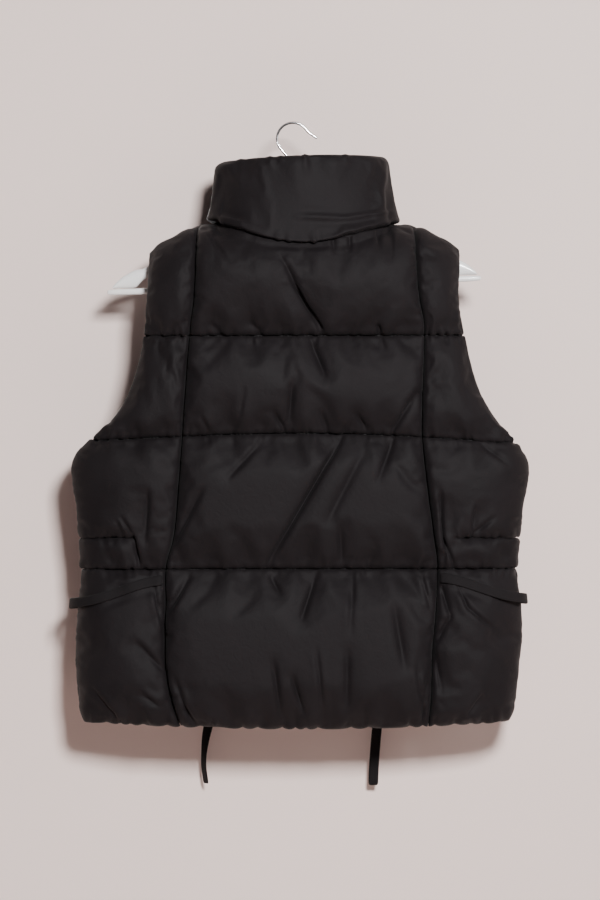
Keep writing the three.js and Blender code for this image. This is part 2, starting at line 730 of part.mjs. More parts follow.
function tieStations(tie) {
  const left = tie.side === 'left';
  const backPanel = left ? sideLeft : sideRight;
  const frontPanel = left ? frontLeft : frontRight;
  const columnsBack = backPanel.outer.length - 1;
  const columnsFront = frontPanel.outer.length - 1;
  const half = TIE_WIDTH / 2;
  const lift = TIE_SEAT + TIE_THICK / 2;
  const inwards = left ? 1 : -1;
  const raised = ({ place, normal }, by) => ({ place: place.clone().addScaledVector(normal, by), normal });
  const stations = [];
  const columnStation = (panel, column, z, off) => {
    stations.push(SIDEWAYS.map((w) => raised(wallAtColumn(panel, column, z + w * half), lift + off)));
  };
  // out along the back, two stations for each column of the panel
  const backSteps = 2 * columnsBack;
  for (let k = 0; k <= backSteps; k += 1) {
    const out = lerp(0.02, 1, k / backSteps);
    const column = left ? columnsBack * (1 - out) : columnsBack * out;
    const droop = smooth(out * 0.9) * tie.droop;
    const off = TIE_RISE * smooth(out * 10) + tie.loose * smooth((out - 0.5) * 2);
    columnStation(backPanel, column, tie.seamZ - droop, off);
  }
  // round the front to the loop
  let loopColumn = 0;
  const frontColumn = (c) => (left ? c : columnsFront - c);
  const reached = (c) => (wallAtColumn(frontPanel, frontColumn(c), tie.loopZ).place.x - tie.loopX) * inwards;
  while (loopColumn < columnsFront && reached(loopColumn) < 0) loopColumn += 0.05;
  const frontSteps = Math.ceil(2 * loopColumn);
  for (let k = 1; k <= frontSteps; k += 1) {
    const t = k / frontSteps;
    const z = lerp(tie.seamZ - tie.droop, tie.loopZ, smooth(t));
    columnStation(frontPanel, frontColumn(t * loopColumn), z, (tie.loose + TIE_RISE) * (1 - smooth(t * 2)));
  }
  // the turn downwards, in the plane of the wall
  const bends = 6;
  for (let k = 1; k <= bends; k += 1) {
    const turn = (k / bends) * (Math.PI / 2);
    stations.push(SIDEWAYS.map((w) => {
      const reach = TIE_TURN + w * half;
      const x = tie.loopX + inwards * reach * Math.sin(turn);
      const z = tie.loopZ - TIE_TURN + reach * Math.cos(turn);
      return raised(wallAtX(frontPanel, x, z), lift + 0.3);
    }));
  }
  // the tail lies on the padding until its widest place and hangs free below it
  const start = { z: tie.loopZ - TIE_TURN, x: tie.loopX + inwards * TIE_TURN };
  const low = tie.tail[tie.tail.length - 1].z;
  const count = Math.round((start.z - low) / TIE_STEP);
  const route = [start, ...tie.tail];
  let outest = 0;
  for (let k = 1; k <= count; k += 1) {
    const z = lerp(start.z, low, k / count);
    const x = read(route, 'x', z);
    for (const w of SIDEWAYS) {
      outest = Math.max(outest, wallAtX(frontPanel, x + w * half, Math.max(z, TAIL_ROLL_FROM)).place.y + lift + 0.6);
    }
    const roll = tie.twist * smooth((TAIL_ROLL_FROM - z) / 60);
    const normal = new THREE.Vector3(Math.sin(roll), Math.cos(roll), 0);
    stations.push(SIDEWAYS.map((w) => {
      const place = new THREE.Vector3(x, outest, z);
      place.x += inwards * w * half * Math.cos(roll);
      place.y -= inwards * w * half * Math.sin(roll);
      return { place, normal };
    }));
  }
  return stations;
}

// A loop of tape on the front, over the tie and sewn down above and below it
function loopStations(tie) {
  const frontPanel = tie.side === 'left' ? frontLeft : frontRight;
  const inwards = tie.side === 'left' ? 1 : -1;
  const x = tie.loopX - inwards * LOOP_HALF;
  const over = 2 * TIE_SEAT + TIE_THICK + LOOP_THICK / 2 + 0.6;
  const seat = TIE_SEAT + LOOP_THICK / 2;
  const shape = [
    { up: LOOP_REACH + 3, lift: seat },
    { up: LOOP_REACH - 1, lift: seat },
    { up: TIE_WIDTH / 2 + 2, lift: over },
    { up: 0, lift: over + 0.6 },
    { up: -TIE_WIDTH / 2 - 2, lift: over },
    { up: -LOOP_REACH + 1, lift: seat },
    { up: -LOOP_REACH - 3, lift: seat },
  ];
  return shape.map(({ up, lift }) => SIDEWAYS.map((w) => {
    const { place, normal } = wallAtX(frontPanel, x + w * LOOP_HALF, tie.loopZ + up);
    return { place: place.addScaledVector(normal, lift), normal };
  }));
}

// The zip's line: the middle between the two edges of the fronts and of the collar, from the hem up
function zipLine() {
  const pairs = [];
  const rows = frontLeft.inner[0].length;
  for (let j = rows - 1; j >= 0; j -= 1) pairs.push([frontLeft, frontLeft.inner.length - 1, frontRight, 0, j]);
  for (let j = 1; j <= COLLAR_ROWS; j += 1) pairs.push([collar, 0, collar, COLLAR_COLUMNS, j]);
  return pairs.map(([a, i, b, k, j]) => {
    const inside = a.inner[i][j].clone().add(b.inner[k][j]).multiplyScalar(0.5);
    const outside = a.outer[i][j].clone().add(b.outer[k][j]).multiplyScalar(0.5);
    const normal = outside.clone().sub(inside).setX(0).normalize();
    return { place: inside.addScaledVector(normal, SEAM_WALL / 2), normal };
  });
}

function zipStrip(line, from, to, halfThick) {
  const at = (place, x) => place.clone().add(new THREE.Vector3(x, 0, 0));
  return strip(line.map(({ place, normal }) => [from, to].map((x) => ({ place: at(place, x), normal }))), halfThick);
}

// The slider at the top of the closed zip, and the tab that hangs from it
const SLIDER = { half: 4.6, tall: 12, front: 2, back: 1.4, core: 2.6, rail: 1.6, railDeep: 3.4 };
const TAB = { half: 2.6, long: 30, thick: 1.5, knuckle: 1.3 };

function sliderGeometry() {
  const slot = TAPE_THICK / 2 + GAP;
  const face = slot + SLIDER.front;
  const rail = face + SLIDER.railDeep;
  const inside = SLIDER.half - SLIDER.rail;
  const shape = new THREE.Shape([
    new THREE.Vector2(-SLIDER.half, slot),
    new THREE.Vector2(-SLIDER.core, slot),
    new THREE.Vector2(-SLIDER.core, -slot),
    new THREE.Vector2(-SLIDER.half, -slot),
    new THREE.Vector2(-SLIDER.half, -slot - SLIDER.back),
    new THREE.Vector2(SLIDER.half, -slot - SLIDER.back),
    new THREE.Vector2(SLIDER.half, -slot),
    new THREE.Vector2(SLIDER.core, -slot),
    new THREE.Vector2(SLIDER.core, slot),
    new THREE.Vector2(SLIDER.half, slot),
    new THREE.Vector2(SLIDER.half, rail),
    new THREE.Vector2(inside, rail),
    new THREE.Vector2(inside, face),
    new THREE.Vector2(-inside, face),
    new THREE.Vector2(-inside, rail),
    new THREE.Vector2(-SLIDER.half, rail),
  ]);
  return new THREE.ExtrudeGeometry(shape, { depth: SLIDER.tall, bevelEnabled: false });
}

// The tab's side view, with its pivot at the origin, hanging down
function tabGeometry() {
  const shape = new THREE.Shape();
  const r = TAB.knuckle;
  shape.absarc(0, 0, r, 0, Math.PI, false);
  shape.lineTo(-TAB.thick / 2, -r);
  shape.lineTo(-TAB.thick / 2, -TAB.long);
  shape.lineTo(TAB.thick / 2, -TAB.long);
  shape.lineTo(TAB.thick / 2, -r);
  const geometry = new THREE.ExtrudeGeometry(shape, { depth: 2 * TAB.half, bevelEnabled: false, curveSegments: 8 });
  geometry.translate(0, 0, -TAB.half);
  const [x, y, z] = [new THREE.Vector3(1, 0, 0), new THREE.Vector3(0, 1, 0), new THREE.Vector3(0, 0, 1)];
  geometry.applyMatrix4(new THREE.Matrix4().makeBasis(y, z, x));
  return geometry;
}

// Sections of the moulded hanger from its middle out: how far its top lies under the line and how deep it is
const ARM_SECTIONS = [
  { out: 0, under: 0, deep: 26 },
  { out: 22, under: 0, deep: 21 },
  { out: 60, under: 0, deep: 18 },
  { out: 120, under: 0, deep: 18 },
  { out: 168, under: 0, deep: 16 },
  { out: 174, under: 3, deep: 13 },
  { out: 180, under: 3, deep: 14 },
  { out: 185, under: 0, deep: null },
  { out: 192, under: 0, deep: null },
  { out: 202, under: 1, deep: null },
  { out: 209, under: 4, deep: null },
  { out: 214, under: 8, deep: null },
];

function barTop(x) {
  return BAR_TOP + HANGER_TILT * x;
}

function roundedSection(x, low, high, half) {
  const soft = Math.min(half, (high - low) / 2) * 0.6;
  const corners = [
    [-half + soft, low], [half - soft, low], [half, low + soft], [half, high - soft],
    [half - soft, high], [-half + soft, high], [-half, high - soft], [-half, low + soft],
  ];
  return corners.map(([y, z]) => new THREE.Vector3(x, y, z));
}

function hangerArms() {
  const sides = [...ARM_SECTIONS.slice(1).reverse().map((s) => ({ ...s, side: -1 })),
    ...ARM_SECTIONS.map((s) => ({ ...s, side: 1 }))];
  return ringBody(sides.map(({ out, under, deep, side }) => {
    const x = HANGER_X + side * out;
    const high = hangerTop(x) - under;
    const low = deep === null ? barTop(x) + GAP : high - deep;
    return roundedSection(x, low, high, HANGER_HALF);
  }));
}

function hangerBar() {
  const ends = [-218, -213, 0, 216, 221];
  return ringBody(ends.map((x, k) => {
    const tip = k === 0 || k === ends.length - 1;
    const high = barTop(x);
    return roundedSection(x, high - BAR_TALL + (tip ? 2 : 0), high - (tip ? 1 : 0), tip ? BAR_HALF - 1 : BAR_HALF);
  }));
}

// The hook: a shank from the hanger's middle and a round crook, ending in a small ball
function hookGeometry() {
  const centre = new THREE.Vector2(0, WIRE - HOOK_RADIUS);
  const seat = hangerTop(HANGER_X) + GAP;
  const route = [
    new THREE.Vector3(HANGER_X, 0, seat),
    new THREE.Vector3(HANGER_X, 0, seat + 14),
    new THREE.Vector3(0, 0, -52),
    new THREE.Vector3(-7, 0, -38),
  ];
  const crook = 12;
  for (let k = 0; k <= crook; k += 1) {
    const turn = lerp(1.13, 0.15, k / crook) * Math.PI;
    route.push(new THREE.Vector3(
      centre.x + HOOK_RADIUS * Math.cos(turn),
      0,
      centre.y + HOOK_RADIUS * Math.sin(turn),
    ));
  }
  route.push(new THREE.Vector3(23, 0, -13), new THREE.Vector3(28.5, 0, -17));
  const curve = new THREE.CatmullRomCurve3(route, false, 'centripetal');
  const steps = 30;
  const sides = 8;
  const rings = [];
  for (let k = 0; k <= steps; k += 1) {
    const p = curve.getPointAt(k / steps);
    const along = curve.getTangentAt(k / steps);
    const across = new THREE.Vector3(0, 1, 0);
    const up = along.clone().cross(across).normalize();
    rings.push(Array.from({ length: sides }, (_, i) => {
      const a = (2 * Math.PI * i) / sides;
      return p.clone().addScaledVector(across, WIRE * Math.cos(a)).addScaledVector(up, WIRE * Math.sin(a));
    }));
  }
  return ringBody(rings);
}

const COLOURS = {
  shell: { color: 0x26232a, roughness: 0.62, metalness: 0 },
  tape: { color: 0x1b1a1d, roughness: 0.8, metalness: 0 },
  zip: { color: 0x1d1d20, roughness: 0.4, metalness: 0.2 },
  hanger: { color: 0xf2f0ee, roughness: 0.28, metalness: 0 },
  hook: { color: 0xc4c4c6, roughness: 0.2, metalness: 1 },
};

const part = new THREE.Group();
function add(name, geometry, finish, parent = part) {
  const mesh = new THREE.Mesh(geometry, new THREE.MeshStandardMaterial(COLOURS[finish]));
  mesh.name = name;
  parent.add(mesh);
  return mesh;
}

add('back_side_left', panelBody(sideLeft), 'shell');
add('back_centre', panelBody(centre), 'shell');
add('back_side_right', panelBody(sideRight), 'shell');
add('front_left', panelBody(frontLeft), 'shell');
add('front_right', panelBody(frontRight), 'shell');
add('collar', panelBody(collar), 'shell');

for (const tie of [TIES.left, TIES.right]) {
  add(`tie_${tie.side}`, strip(tieStations(tie), TIE_THICK / 2), 'tape');
  add(`tie_loop_${tie.side}`, strip(loopStations(tie), LOOP_THICK / 2), 'tape');
}

const line = zipLine();
const tapeEdge = ZIP_HALF - GAP;
const teethEdge = TEETH_HALF + GAP;
add('zip_tape_left', zipStrip(line, -tapeEdge, -teethEdge, TAPE_THICK / 2), 'tape');
add('zip_tape_right', zipStrip(line, teethEdge, tapeEdge, TAPE_THICK / 2), 'tape');

// the teeth stop under the slider, two rows below the collar's top
const teethLine = line.slice(0, -2);
add('zip_teeth', zipStrip(teethLine, -TEETH_HALF, TEETH_HALF, TEETH_THICK / 2), 'zip');

const sliderSeat = teethLine[teethLine.length - 1];
const beyond = line[line.length - 1].place.clone().sub(sliderSeat.place).normalize();
const slider = new THREE.Group();
slider.position.copy(sliderSeat.place).addScaledVector(beyond, GAP);
slider.rotation.x = Math.atan2(-beyond.y, beyond.z);
part.add(slider);
add('zip_slider', sliderGeometry(), 'zip', slider);
const pivot = TAPE_THICK / 2 + GAP + SLIDER.front + GAP + TAB.knuckle;
const tab = add('zip_pull', tabGeometry(), 'zip', slider);
tab.position.set(0, pivot, SLIDER.tall - 2 * TAB.knuckle);

add('hanger_arms', hangerArms(), 'hanger');
add('hanger_bar', hangerBar(), 'hanger');
add('hanger_hook', hookGeometry(), 'hook');

export default part;
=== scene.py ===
"""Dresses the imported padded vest: its quilted shell, collar, ties, zip and hanger, and the studio round it."""

import math

import bmesh
import bpy
import numpy as np
from mathutils import Matrix, Vector, noise
from mathutils.bvhtree import BVHTree


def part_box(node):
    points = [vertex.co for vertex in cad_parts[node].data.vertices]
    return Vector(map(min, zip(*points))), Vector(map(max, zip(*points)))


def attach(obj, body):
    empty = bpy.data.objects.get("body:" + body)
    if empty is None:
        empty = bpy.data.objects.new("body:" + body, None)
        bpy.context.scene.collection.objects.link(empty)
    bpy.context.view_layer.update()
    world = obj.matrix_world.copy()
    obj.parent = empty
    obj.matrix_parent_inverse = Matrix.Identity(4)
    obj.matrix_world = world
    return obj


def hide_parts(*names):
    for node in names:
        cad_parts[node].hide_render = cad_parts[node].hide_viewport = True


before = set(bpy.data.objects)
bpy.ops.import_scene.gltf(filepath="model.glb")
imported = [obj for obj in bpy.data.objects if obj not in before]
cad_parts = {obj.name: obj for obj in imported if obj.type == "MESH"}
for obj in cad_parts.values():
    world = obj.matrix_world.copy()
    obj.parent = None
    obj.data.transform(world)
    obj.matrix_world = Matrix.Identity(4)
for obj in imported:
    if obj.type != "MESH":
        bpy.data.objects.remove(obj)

bl_info = {
    "name": "Padded Vest on a Hanger",
    "version": (1, 0, 0),
    "blender": (4, 5, 0),
    "location": "View3D > Sidebar > Vest",
    "description": "Quilted vest panels, collar, ties, zip and hanger round a packed frame",
    "category": "Object",
}

# Sizes are in millimetres, as in the part's source, and MM turns them into metres.
MM = 0.001
BACK, FRONT = -1, 1

SEAM_WALL, SIDE_WALL, PUFF_WALL = 9.0, 15.0, 27.0
GAP, NECK_GAP = 0.3, 0.9
TIE_WIDTH, TIE_THICK = 12.0, 1.6
SECTION_POWER = 2.6
SHOULDER_ROUND = 75.0
ARMHOLE_TURN, ARMHOLE_RISE, UNDERARM = 0.5, 70.0, -398.0
BODY_HALF, ROWS_FROM = 240.0, -150.0
HANGER_X, HANGER_TOP, HANGER_SLOPE, HANGER_TILT = 2.0, -83.5, 0.43, 0.0386
REST_GAP = 0.9
NECK_X, NECK_HALF, NECK_ROUND = 12.0, 95.0, 75.0
NECK_DIP = {BACK: 15.0, FRONT: 58.0}
COLLAR_FOOT, COLLAR_CLEAR, NECK_NEAR = 12.0, 36.0, 10.0
ZIP_HALF, TEETH_HALF, TAPE_THICK = 9.0, 3.0, 2.0
PUFF_REACH, EDGE_REACH, BAND_REACH, GATHER_REACH = 62.0, 44.0, 16.0, 26.0
BELOW_SHARE, ABOVE_SHARE = 0.55, 0.33
SEAM_REACH, SEAM_SHARE = 16.0, 0.5

# The inner edges of the body: height, left, right
EDGES = np.array([
    (-120, -164, 193), (-160, -165, 192), (-206, -166, 189), (-263, -173, 200), (-319, -190, 217),
    (-347, -207, 234), (-375, -232, 254), (-395, -244, 262), (-420, -240, 257), (-446, -236, 252),
    (-484, -233, 248), (-521, -232, 247), (-600, -236, 249), (-657, -235, 244), (-720, -230, 238),
], float)
# Half depth of the hollow: height, back, front
DEPTHS = np.array([
    (-60, 50, 48), (-140, 50, 48), (-200, 42, 42), (-260, 38, 38), (-362, 36, 36),
    (-484, 34, 34), (-521, 33, 33), (-620, 37, 36), (-720, 34, 33),
], float)
# The two shaped seams of the back: height, left, right
BACK_SEAMS = np.array([
    (-120, -105, 135), (-195, -112, 143), (-245, -119, 152), (-271, -121, 151), (-362, -128, 150),
    (-418, -132, 155), (-488, -139, 164), (-517, -147, 168), (-558, -147, 166), (-629, -147, 161),
    (-664, -142, 160), (-720, -126, 156),
], float)
# Heights of the quilting lines at the left side, the middle and the right side
LINES = np.array([
    (-250, -249, -249), (-374, -363, -376), (-484, -484, -484), (-522, -521, -521), (-701, -708, -700),
], float)
BAND_LINE, HEM_LINE = 2, 4
BAND_END = (-185.0, 190.0)
BAND_FADE = 14.0
# Gathers beside the lines: length of the wave, share of the puff, start
GATHERS = ((37.0, 0.16, 0.4), (59.0, 0.13, 2.1))

# Folds of the back: from x, z to x, z, depth and half width
BACK_FOLDS = (
    (-12, -161, 18, -217, 5, 9), (0, -190, 36, -245, 9, 9), (-49, -235, -34, -248, 4, 7),
    (21, -256, 36, -293, 7, 9), (-1, -311, -4, -345, 5, 8), (-22, -339, -9, -360, 5, 7),
    (74, -341, 86, -359, 5, 7), (140, -321, 116, -360, 6, 8), (57, -368, -26, -509, 9, 8),
    (-43, -380, -73, -412, 4, 7), (118, -368, 100, -415, 5, 9), (79, -391, 42, -462, 4, 12),
    (-108, -433, -138, -490, 4, 7), (55, -473, 57, -513, 4, 7), (-169, -433, -172, -484, 5, 8),
    (-185, -486, -179, -514, 8, 6), (174, -441, 176, -502, 9, 7), (214, -448, 208, -480, 5, 8),
    (-122, -533, -144, -569, 5, 8), (25, -533, 11, -576, 6, 8), (-26, -529, -16, -548, 4, 7),
    (-22, -633, -15, -684, 5, 8), (0, -648, 11, -684, 6, 8), (63, -620, 63, -674, 4, 9),
    (118, -565, 129, -630, 5, 12), (-179, -609, -149, -640, 4, 8), (-232, -663, -202, -700, 5, 8),
    (-175, -667, -157, -680, 4, 7), (172, -540, 183, -576, 6, 8), (183, -576, 163, -612, 6, 8),
    (163, -612, 172, -658, 5, 8), (222, -666, 204, -691, 5, 8),
)
# Creases too fine for the troughs of the padding
BACK_CREASES = (
    (171, -434, 174, -484, 9, 6), (175, -482, 188, -519, 9, 6), (233, -462, 208, -482, 6, 7),
    (219, -376, 250, -398, 4, 7), (192, -540, 204, -566, 7, 7), (203, -565, 230, -588, 6, 7),
    (156, -650, 152, -696, 6, 6), (28, -620, 35, -684, 5, 7), (70, -527, 67, -590, 4, 9),
    (149, -527, 160, -566, 5, 7),
    (145, -637, 152, -699, 5, 7), (-199, -462, -187, -481, 6, 6), (-205, -466, -199, -481, 5, 6),
    (-162, -540, -151, -590, 6, 6), (-136, -652, -120, -700, 6, 5), (-124, -682, -113, -703, 6, 5),
    (-100, -128, -78, -160, 3, 8), (-96, -236, -82, -247, 4, 6), (97, -238, 106, -247, 4, 6),
    (46, -131, 48, -152, 4, 7), (66, -128, 66, -150, 5, 7), (98, -122, 100, -146, 5, 7),
    (99, -237, 106, -263, 4, 7),
    (-57, -312, -62, -345, 3, 8), (33, -339, 40, -360, 5, 6), (-106, -346, -98, -360, 4, 6),
)
FRONT_CREASES = (
    (-70, -228, -58, -247, 5, 6), (52, -226, 60, -246, 5, 6), (148, -352, 160, -372, 5, 6),
    (-176, -352, -166, -372, 5, 6), (80, -500, 88, -520, 5, 6), (-52, -496, -44, -519, 5, 6),
    (206, -470, 190, -484, 5, 6), (-214, -470, -196, -484, 5, 6), (110, -540, 96, -572, 6, 7),
    (-150, -545, -160, -585, 6, 7), (-90, -672, -98, -702, 6, 6), (40, -676, 50, -704, 6, 6),
    (140, -672, 132, -702, 6, 6), (-140, -676, -134, -702, 5, 6), (180, -560, 200, -590, 5, 7),
)
FRONT_FOLDS = (
    (-60, -200, -95, -244, 6, 10), (90, -205, 115, -246, 5, 10), (-110, -262, -122, -300, 5, 10),
    (62, -318, 50, -358, 5, 10), (-44, -372, -96, -470, 7, 10), (150, -380, 88, -500, 8, 10),
    (-160, -440, -166, -500, 6, 10), (188, -446, 184, -478, 5, 10), (-60, -534, -74, -590, 6, 10),
    (44, -532, 58, -580, 5, 10), (160, -545, 150, -610, 6, 11), (-188, -620, -172, -690, 5, 10),
    (-30, -640, -40, -696, 6, 10), (66, -630, 78, -694, 5, 10), (190, -650, 178, -695, 5, 10),
)

# Short tucks at the seams: how far apart, how long, how deep and how wide at most, all on one random draw
TUCK_SEED = 7
TUCK_APART, TUCK_LONG, TUCK_DEEP, TUCK_HALF = 17.0, 22.0, 2.6, 2.6
# The collar's creases, and tucks at its top edge: x, length, depth
COLLAR_CREASES = ((8, -111, 62, -113, 4, 9), (60, -113, 113, -105, 5, 8), (-90, -110, -52, -121, 4, 8))
COLLAR_TUCKS = ((-62, 14, 1.6), (-27, 20, 1.7), (-15, 12, 1.2), (14, 26, 2.2), (61, 16, 1.5))

# A quilting line's stitches sink into the padding, which closes over them from above and from below: how
# deep, how high the padding stands beside it, how far it closes and over which distance
LINE_SINK, LINE_LIFT, LINE_CLOSE, LINE_REACH = 2.6, 1.3, 0.72, 6.0
# The same for the long creases, and the notches that gather the hem
CREASE_CLOSE, CREASE_REACH, HEM_NOTCH, HEM_PITCH = 0.55, 6.0, 3.0, 7.5

# The collar
COLLAR_TOP_HALF, COLLAR_TOP_DEPTH, COLLAR_TOP = 80.5, 42.0, -39.0
COLLAR_SIDE_DROP, COLLAR_TILT, COLLAR_WALL, COLLAR_EDGE_WALL = 2.5, 0.035, 20.0, 12.0
COLLAR_BASE_REACH, COLLAR_TOP_REACH, COLLAR_ZIP_REACH = 4.0, 13.0, 30.0
COLLAR_TAPER, COLLAR_SAG, COLLAR_SINK = 1.8, 5.0, 3.5

# The ties: their seam, how they droop and stand off, their loop and their tail (height, x)
TIES = {
    "left": {
        "seam": -534.0, "droop": 30.0, "loose": 7.0, "loop": (-116.0, -549.0), "twist": 1.05,
        "tail": ((-640, -100), (-705, -100), (-727, -104), (-755, -106), (-778, -103)),
    },
    "right": {
        "seam": -531.0, "droop": 27.0, "loose": 6.0, "loop": (116.0, -547.0), "twist": 0.15,
        "tail": ((-640, 101), (-705, 100), (-727, 98), (-755, 96), (-780, 95)),
    },
}
TIE_SEAT, TIE_RISE, TIE_TURN, TAIL_ROLL_FROM, TAIL_ROLL_OVER = 1.1, 0.9, 16.0, -690.0, 60.0
LOOP_HALF, LOOP_REACH, LOOP_THICK = 5.0, 13.0, 1.4
THREAD_WIDE, ZIP_STITCH = 0.5, 6.0
# A tooth of the zip, and how far its middle stands aside of the zip's line
TOOTH_WIDE, TOOTH_DEEP, TOOTH_TALL, TOOTH_ASIDE = 3.6, 3.9, 0.9, 1.05

# The settling of the cloth: its frames, the nudge that starts it in metres, the reach of the gathers, and how
# far a point may move at a seam, per millimetre from it, and on the collar as a share of the setting
SETTLE_FRAMES, NUDGE, SEAM_GATHER = 18, 0.0006, 14
MOVE_AT_SEAM, MOVE_PER_MM, COLLAR_MOVE = 0.0004, 0.45, 0.4
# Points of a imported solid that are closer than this, in metres, are one
MERGE = 0.00001

# The photograph's frame: its width and height in pixels, the size of a pixel and the place of the origin
PHOTO_WIDE, PHOTO_TALL = 600, 900
PIXEL = 1.173
ORIGIN_PX = (293.0, 124.0)
CAMERA_AWAY = 6000.0
SENSOR = 36.0

# The studio in metres: the floor, the wall's top, its half width, the bend between them, the floor's front edge
FLOOR, WALL_TOP, WALL_HALF, WALL_BEND, FLOOR_EDGE = -2.2, 1.2, 3.0, 0.25, -3.0
SKY, SKY_STRENGTH, SEEN_STRENGTH = (0.95, 0.96, 1.0, 1), 0.03, 0.6
# The lights: name, place, size and share of the key light's power, all aimed at one place
LIGHTS = (
    ("key", (0.72, -3.5, 0.85), 0.62, 1),
    ("side", (2.6, -1.4, 0.2), 1.4, 0.06),
    ("front", (-0.3, 3.2, 0.0), 1.0, 0.45),
)
AIM = (0, 0, -0.4)


def lerp(a, b, t):
    return a + (b - a) * t


def smooth(t):
    t = np.clip(t, 0, 1)
    return t * t * (3 - 2 * t)


def rise(distance, reach):
    """The round rise of padding from a seam, 0 at the seam and 1 beyond its reach."""
    left = 1 - np.clip(distance / reach, 0, 1)
    return np.sqrt(1 - left * left)


def curve(rows, column, z):
    """A column of a table at heights z, on a smooth curve through its rows, which run downwards."""
    heights, values = rows[:, 0], rows[:, column]
    slope = np.diff(values) / np.diff(heights)
    tangent = np.concatenate([slope[:1], (slope[:-1] + slope[1:]) / 2, slope[-1:]])
    z = np.clip(z, heights[-1], heights[0])
    k = np.clip(np.searchsorted(-heights, -z, side="right") - 1, 0, len(slope) - 1)
    span = heights[k + 1] - heights[k]
    t = (z - heights[k]) / span
    t2, t3 = t * t, t * t * t
    ends = values[k] * (2 * t3 - 3 * t2 + 1) + values[k + 1] * (3 * t2 - 2 * t3)
    return ends + span * (tangent[k] * (t3 - 2 * t2 + t) + tangent[k + 1] * (t3 - t2))


def depth_at(face, z):
    return curve(DEPTHS, 1 if face == BACK else 2, z)


def section(z):
    """Middle, half width and open edge of the body's flattened section at heights z."""
    left, right = curve(EDGES, 1, z), curve(EDGES, 2, z)
    open_edge = ARMHOLE_TURN * np.sqrt(smooth((z - UNDERARM) / ARMHOLE_RISE))
    edge = (1 - open_edge**SECTION_POWER) ** (1 / SECTION_POWER)
    return (left + right) / 2, (right - left) / 2 / edge, edge


def hanger_top(x):
    return HANGER_TOP - HANGER_SLOPE * np.abs(x - HANGER_X) + HANGER_TILT * x


def ridge(face, x):
    """Height of the fold where the cloth turns over the shoulder, with a hump over the neck."""
    across = (x - NECK_X) / NECK_HALF
    level = lerp(hanger_top(NECK_X - NECK_HALF), hanger_top(NECK_X + NECK_HALF), (across + 1) / 2)
    hump = level + (NECK_ROUND - NECK_DIP[face]) * (1 - across**2)
    return REST_GAP + np.where(np.abs(across) >= 1, hanger_top(x), hump)


def top_edge(face, x):
    across = (x - NECK_X) / NECK_HALF
    return ridge(face, x) - NECK_ROUND * np.clip(1 - across**2, 0, None)


def body_point(face, x, z):
    middle, half, _ = section(z)
    across = np.clip(np.abs(x - middle) / half, 0, 1)
    left = 1 - np.clip((ridge(face, x) - z) / SHOULDER_ROUND, 0, 1)
    y = depth_at(face, z) * np.sqrt(1 - left * left) * (1 - across**SECTION_POWER) ** (1 / SECTION_POWER)
    return np.stack([x, face * (y + GAP / 2), z], -1)


def along_section(face, z, start, end, share):
    """x at a share of the way along the section from start to end, both in half widths."""
    middle, half, _ = section(z)
    t = np.linspace(0, 1, 49)
    a, b = np.arccos(np.clip(-start, -1, 1)), np.arccos(np.clip(-end, -1, 1))
    q = -np.cos(a[..., None] + (b - a)[..., None] * t)
    y = depth_at(face, z)[..., None] * (1 - np.minimum(np.abs(q), 1) ** SECTION_POWER) ** (1 / SECTION_POWER)
    steps = np.hypot(np.diff(half[..., None] * q, axis=-1), np.diff(y, axis=-1))
    length = np.concatenate([np.zeros(steps.shape[:-1] + (1,)), np.cumsum(steps, -1)], -1)
    want = share * length[..., -1]
    k = np.clip((length < want[..., None]).sum(-1) - 1, 0, len(t) - 2)[..., None]
    pick = lambda values, index: np.take_along_axis(values, index, -1)[..., 0]
    before, after = pick(length, k), pick(length, k + 1)
    return middle + half * lerp(pick(q, k), pick(q, k + 1), (want - before) / (after - before))


def line_height(line, x):
    t = np.clip((x - NECK_X) / BODY_HALF, -1, 1)
    side = np.where(t < 0, LINES[line, 0], LINES[line, 2])
    return lerp(LINES[line, 1], side, t * t)


def row_shares(spacing):
    """The rows of points down a panel: the padded row of each and its share of the way across it."""
    band, share = [], []
    tall = (185.0, 120.0, 125.0, 40.0, 195.0)
    for k, height in enumerate(tall):
        count = max(6, round(height / spacing))
        t = np.arange(count) / count
        band.append(np.full(count, k))
        share.append(t**1.7 if k == 0 else (1 - np.cos(np.pi * t)) / 4 + t / 2)
    return np.append(np.concatenate(band), len(tall) - 1), np.append(np.concatenate(share), 1.0)


def inner_grid(face, start, end, columns, rows):
    """Inner points of a panel between two seams, as columns by rows."""
    band, share = rows
    shape = (columns, len(band))
    along = np.broadcast_to(np.linspace(0, 1, columns)[:, None], shape)
    band, share = np.broadcast_to(band, shape), np.broadcast_to(share, shape)
    above = np.clip(band - 1, 0, None)
    z = lerp(np.where(band == 0, ROWS_FROM, LINES[above, 1]), LINES[band, 1], share)
    for _ in range(6):
        x = along_section(face, z, start(z), end(z), along)
        high = np.where(band == 0, top_edge(face, x), line_height(above, x))
        z = lerp(high, line_height(band, x), share)
    return body_point(face, x, z)


def edge_place(side):
    return lambda z: side * section(z)[2]


def seam_place(column):
    def place(z):
        middle, half, _ = section(z)
        return (curve(BACK_SEAMS, column, z) - middle) / half
    return place


def zip_place(side):
    def place(z):
        middle, half, _ = section(z)
        return (lerp(NECK_X, 8.0, smooth((-120 - z) / 400)) + side * ZIP_HALF - middle) / half
    return place


def unit(vectors):
    return vectors / np.maximum(np.linalg.norm(vectors, axis=-1, keepdims=True), 1e-9)


def grid_normals(points, outwards):
    """Normals of a grid of points, on the side of the vectors outwards."""
    padded = np.pad(points, ((1, 1), (0, 0), (0, 0)), mode="edge")
    across = padded[2:] - padded[:-2]
    padded = np.pad(points, ((0, 0), (1, 1), (0, 0)), mode="edge")
    down = padded[:, 2:] - padded[:, :-2]
    normals = unit(np.cross(across, down))
    wrong = (normals * outwards).sum(-1) < 0
    normals[wrong] *= -1
    return normals


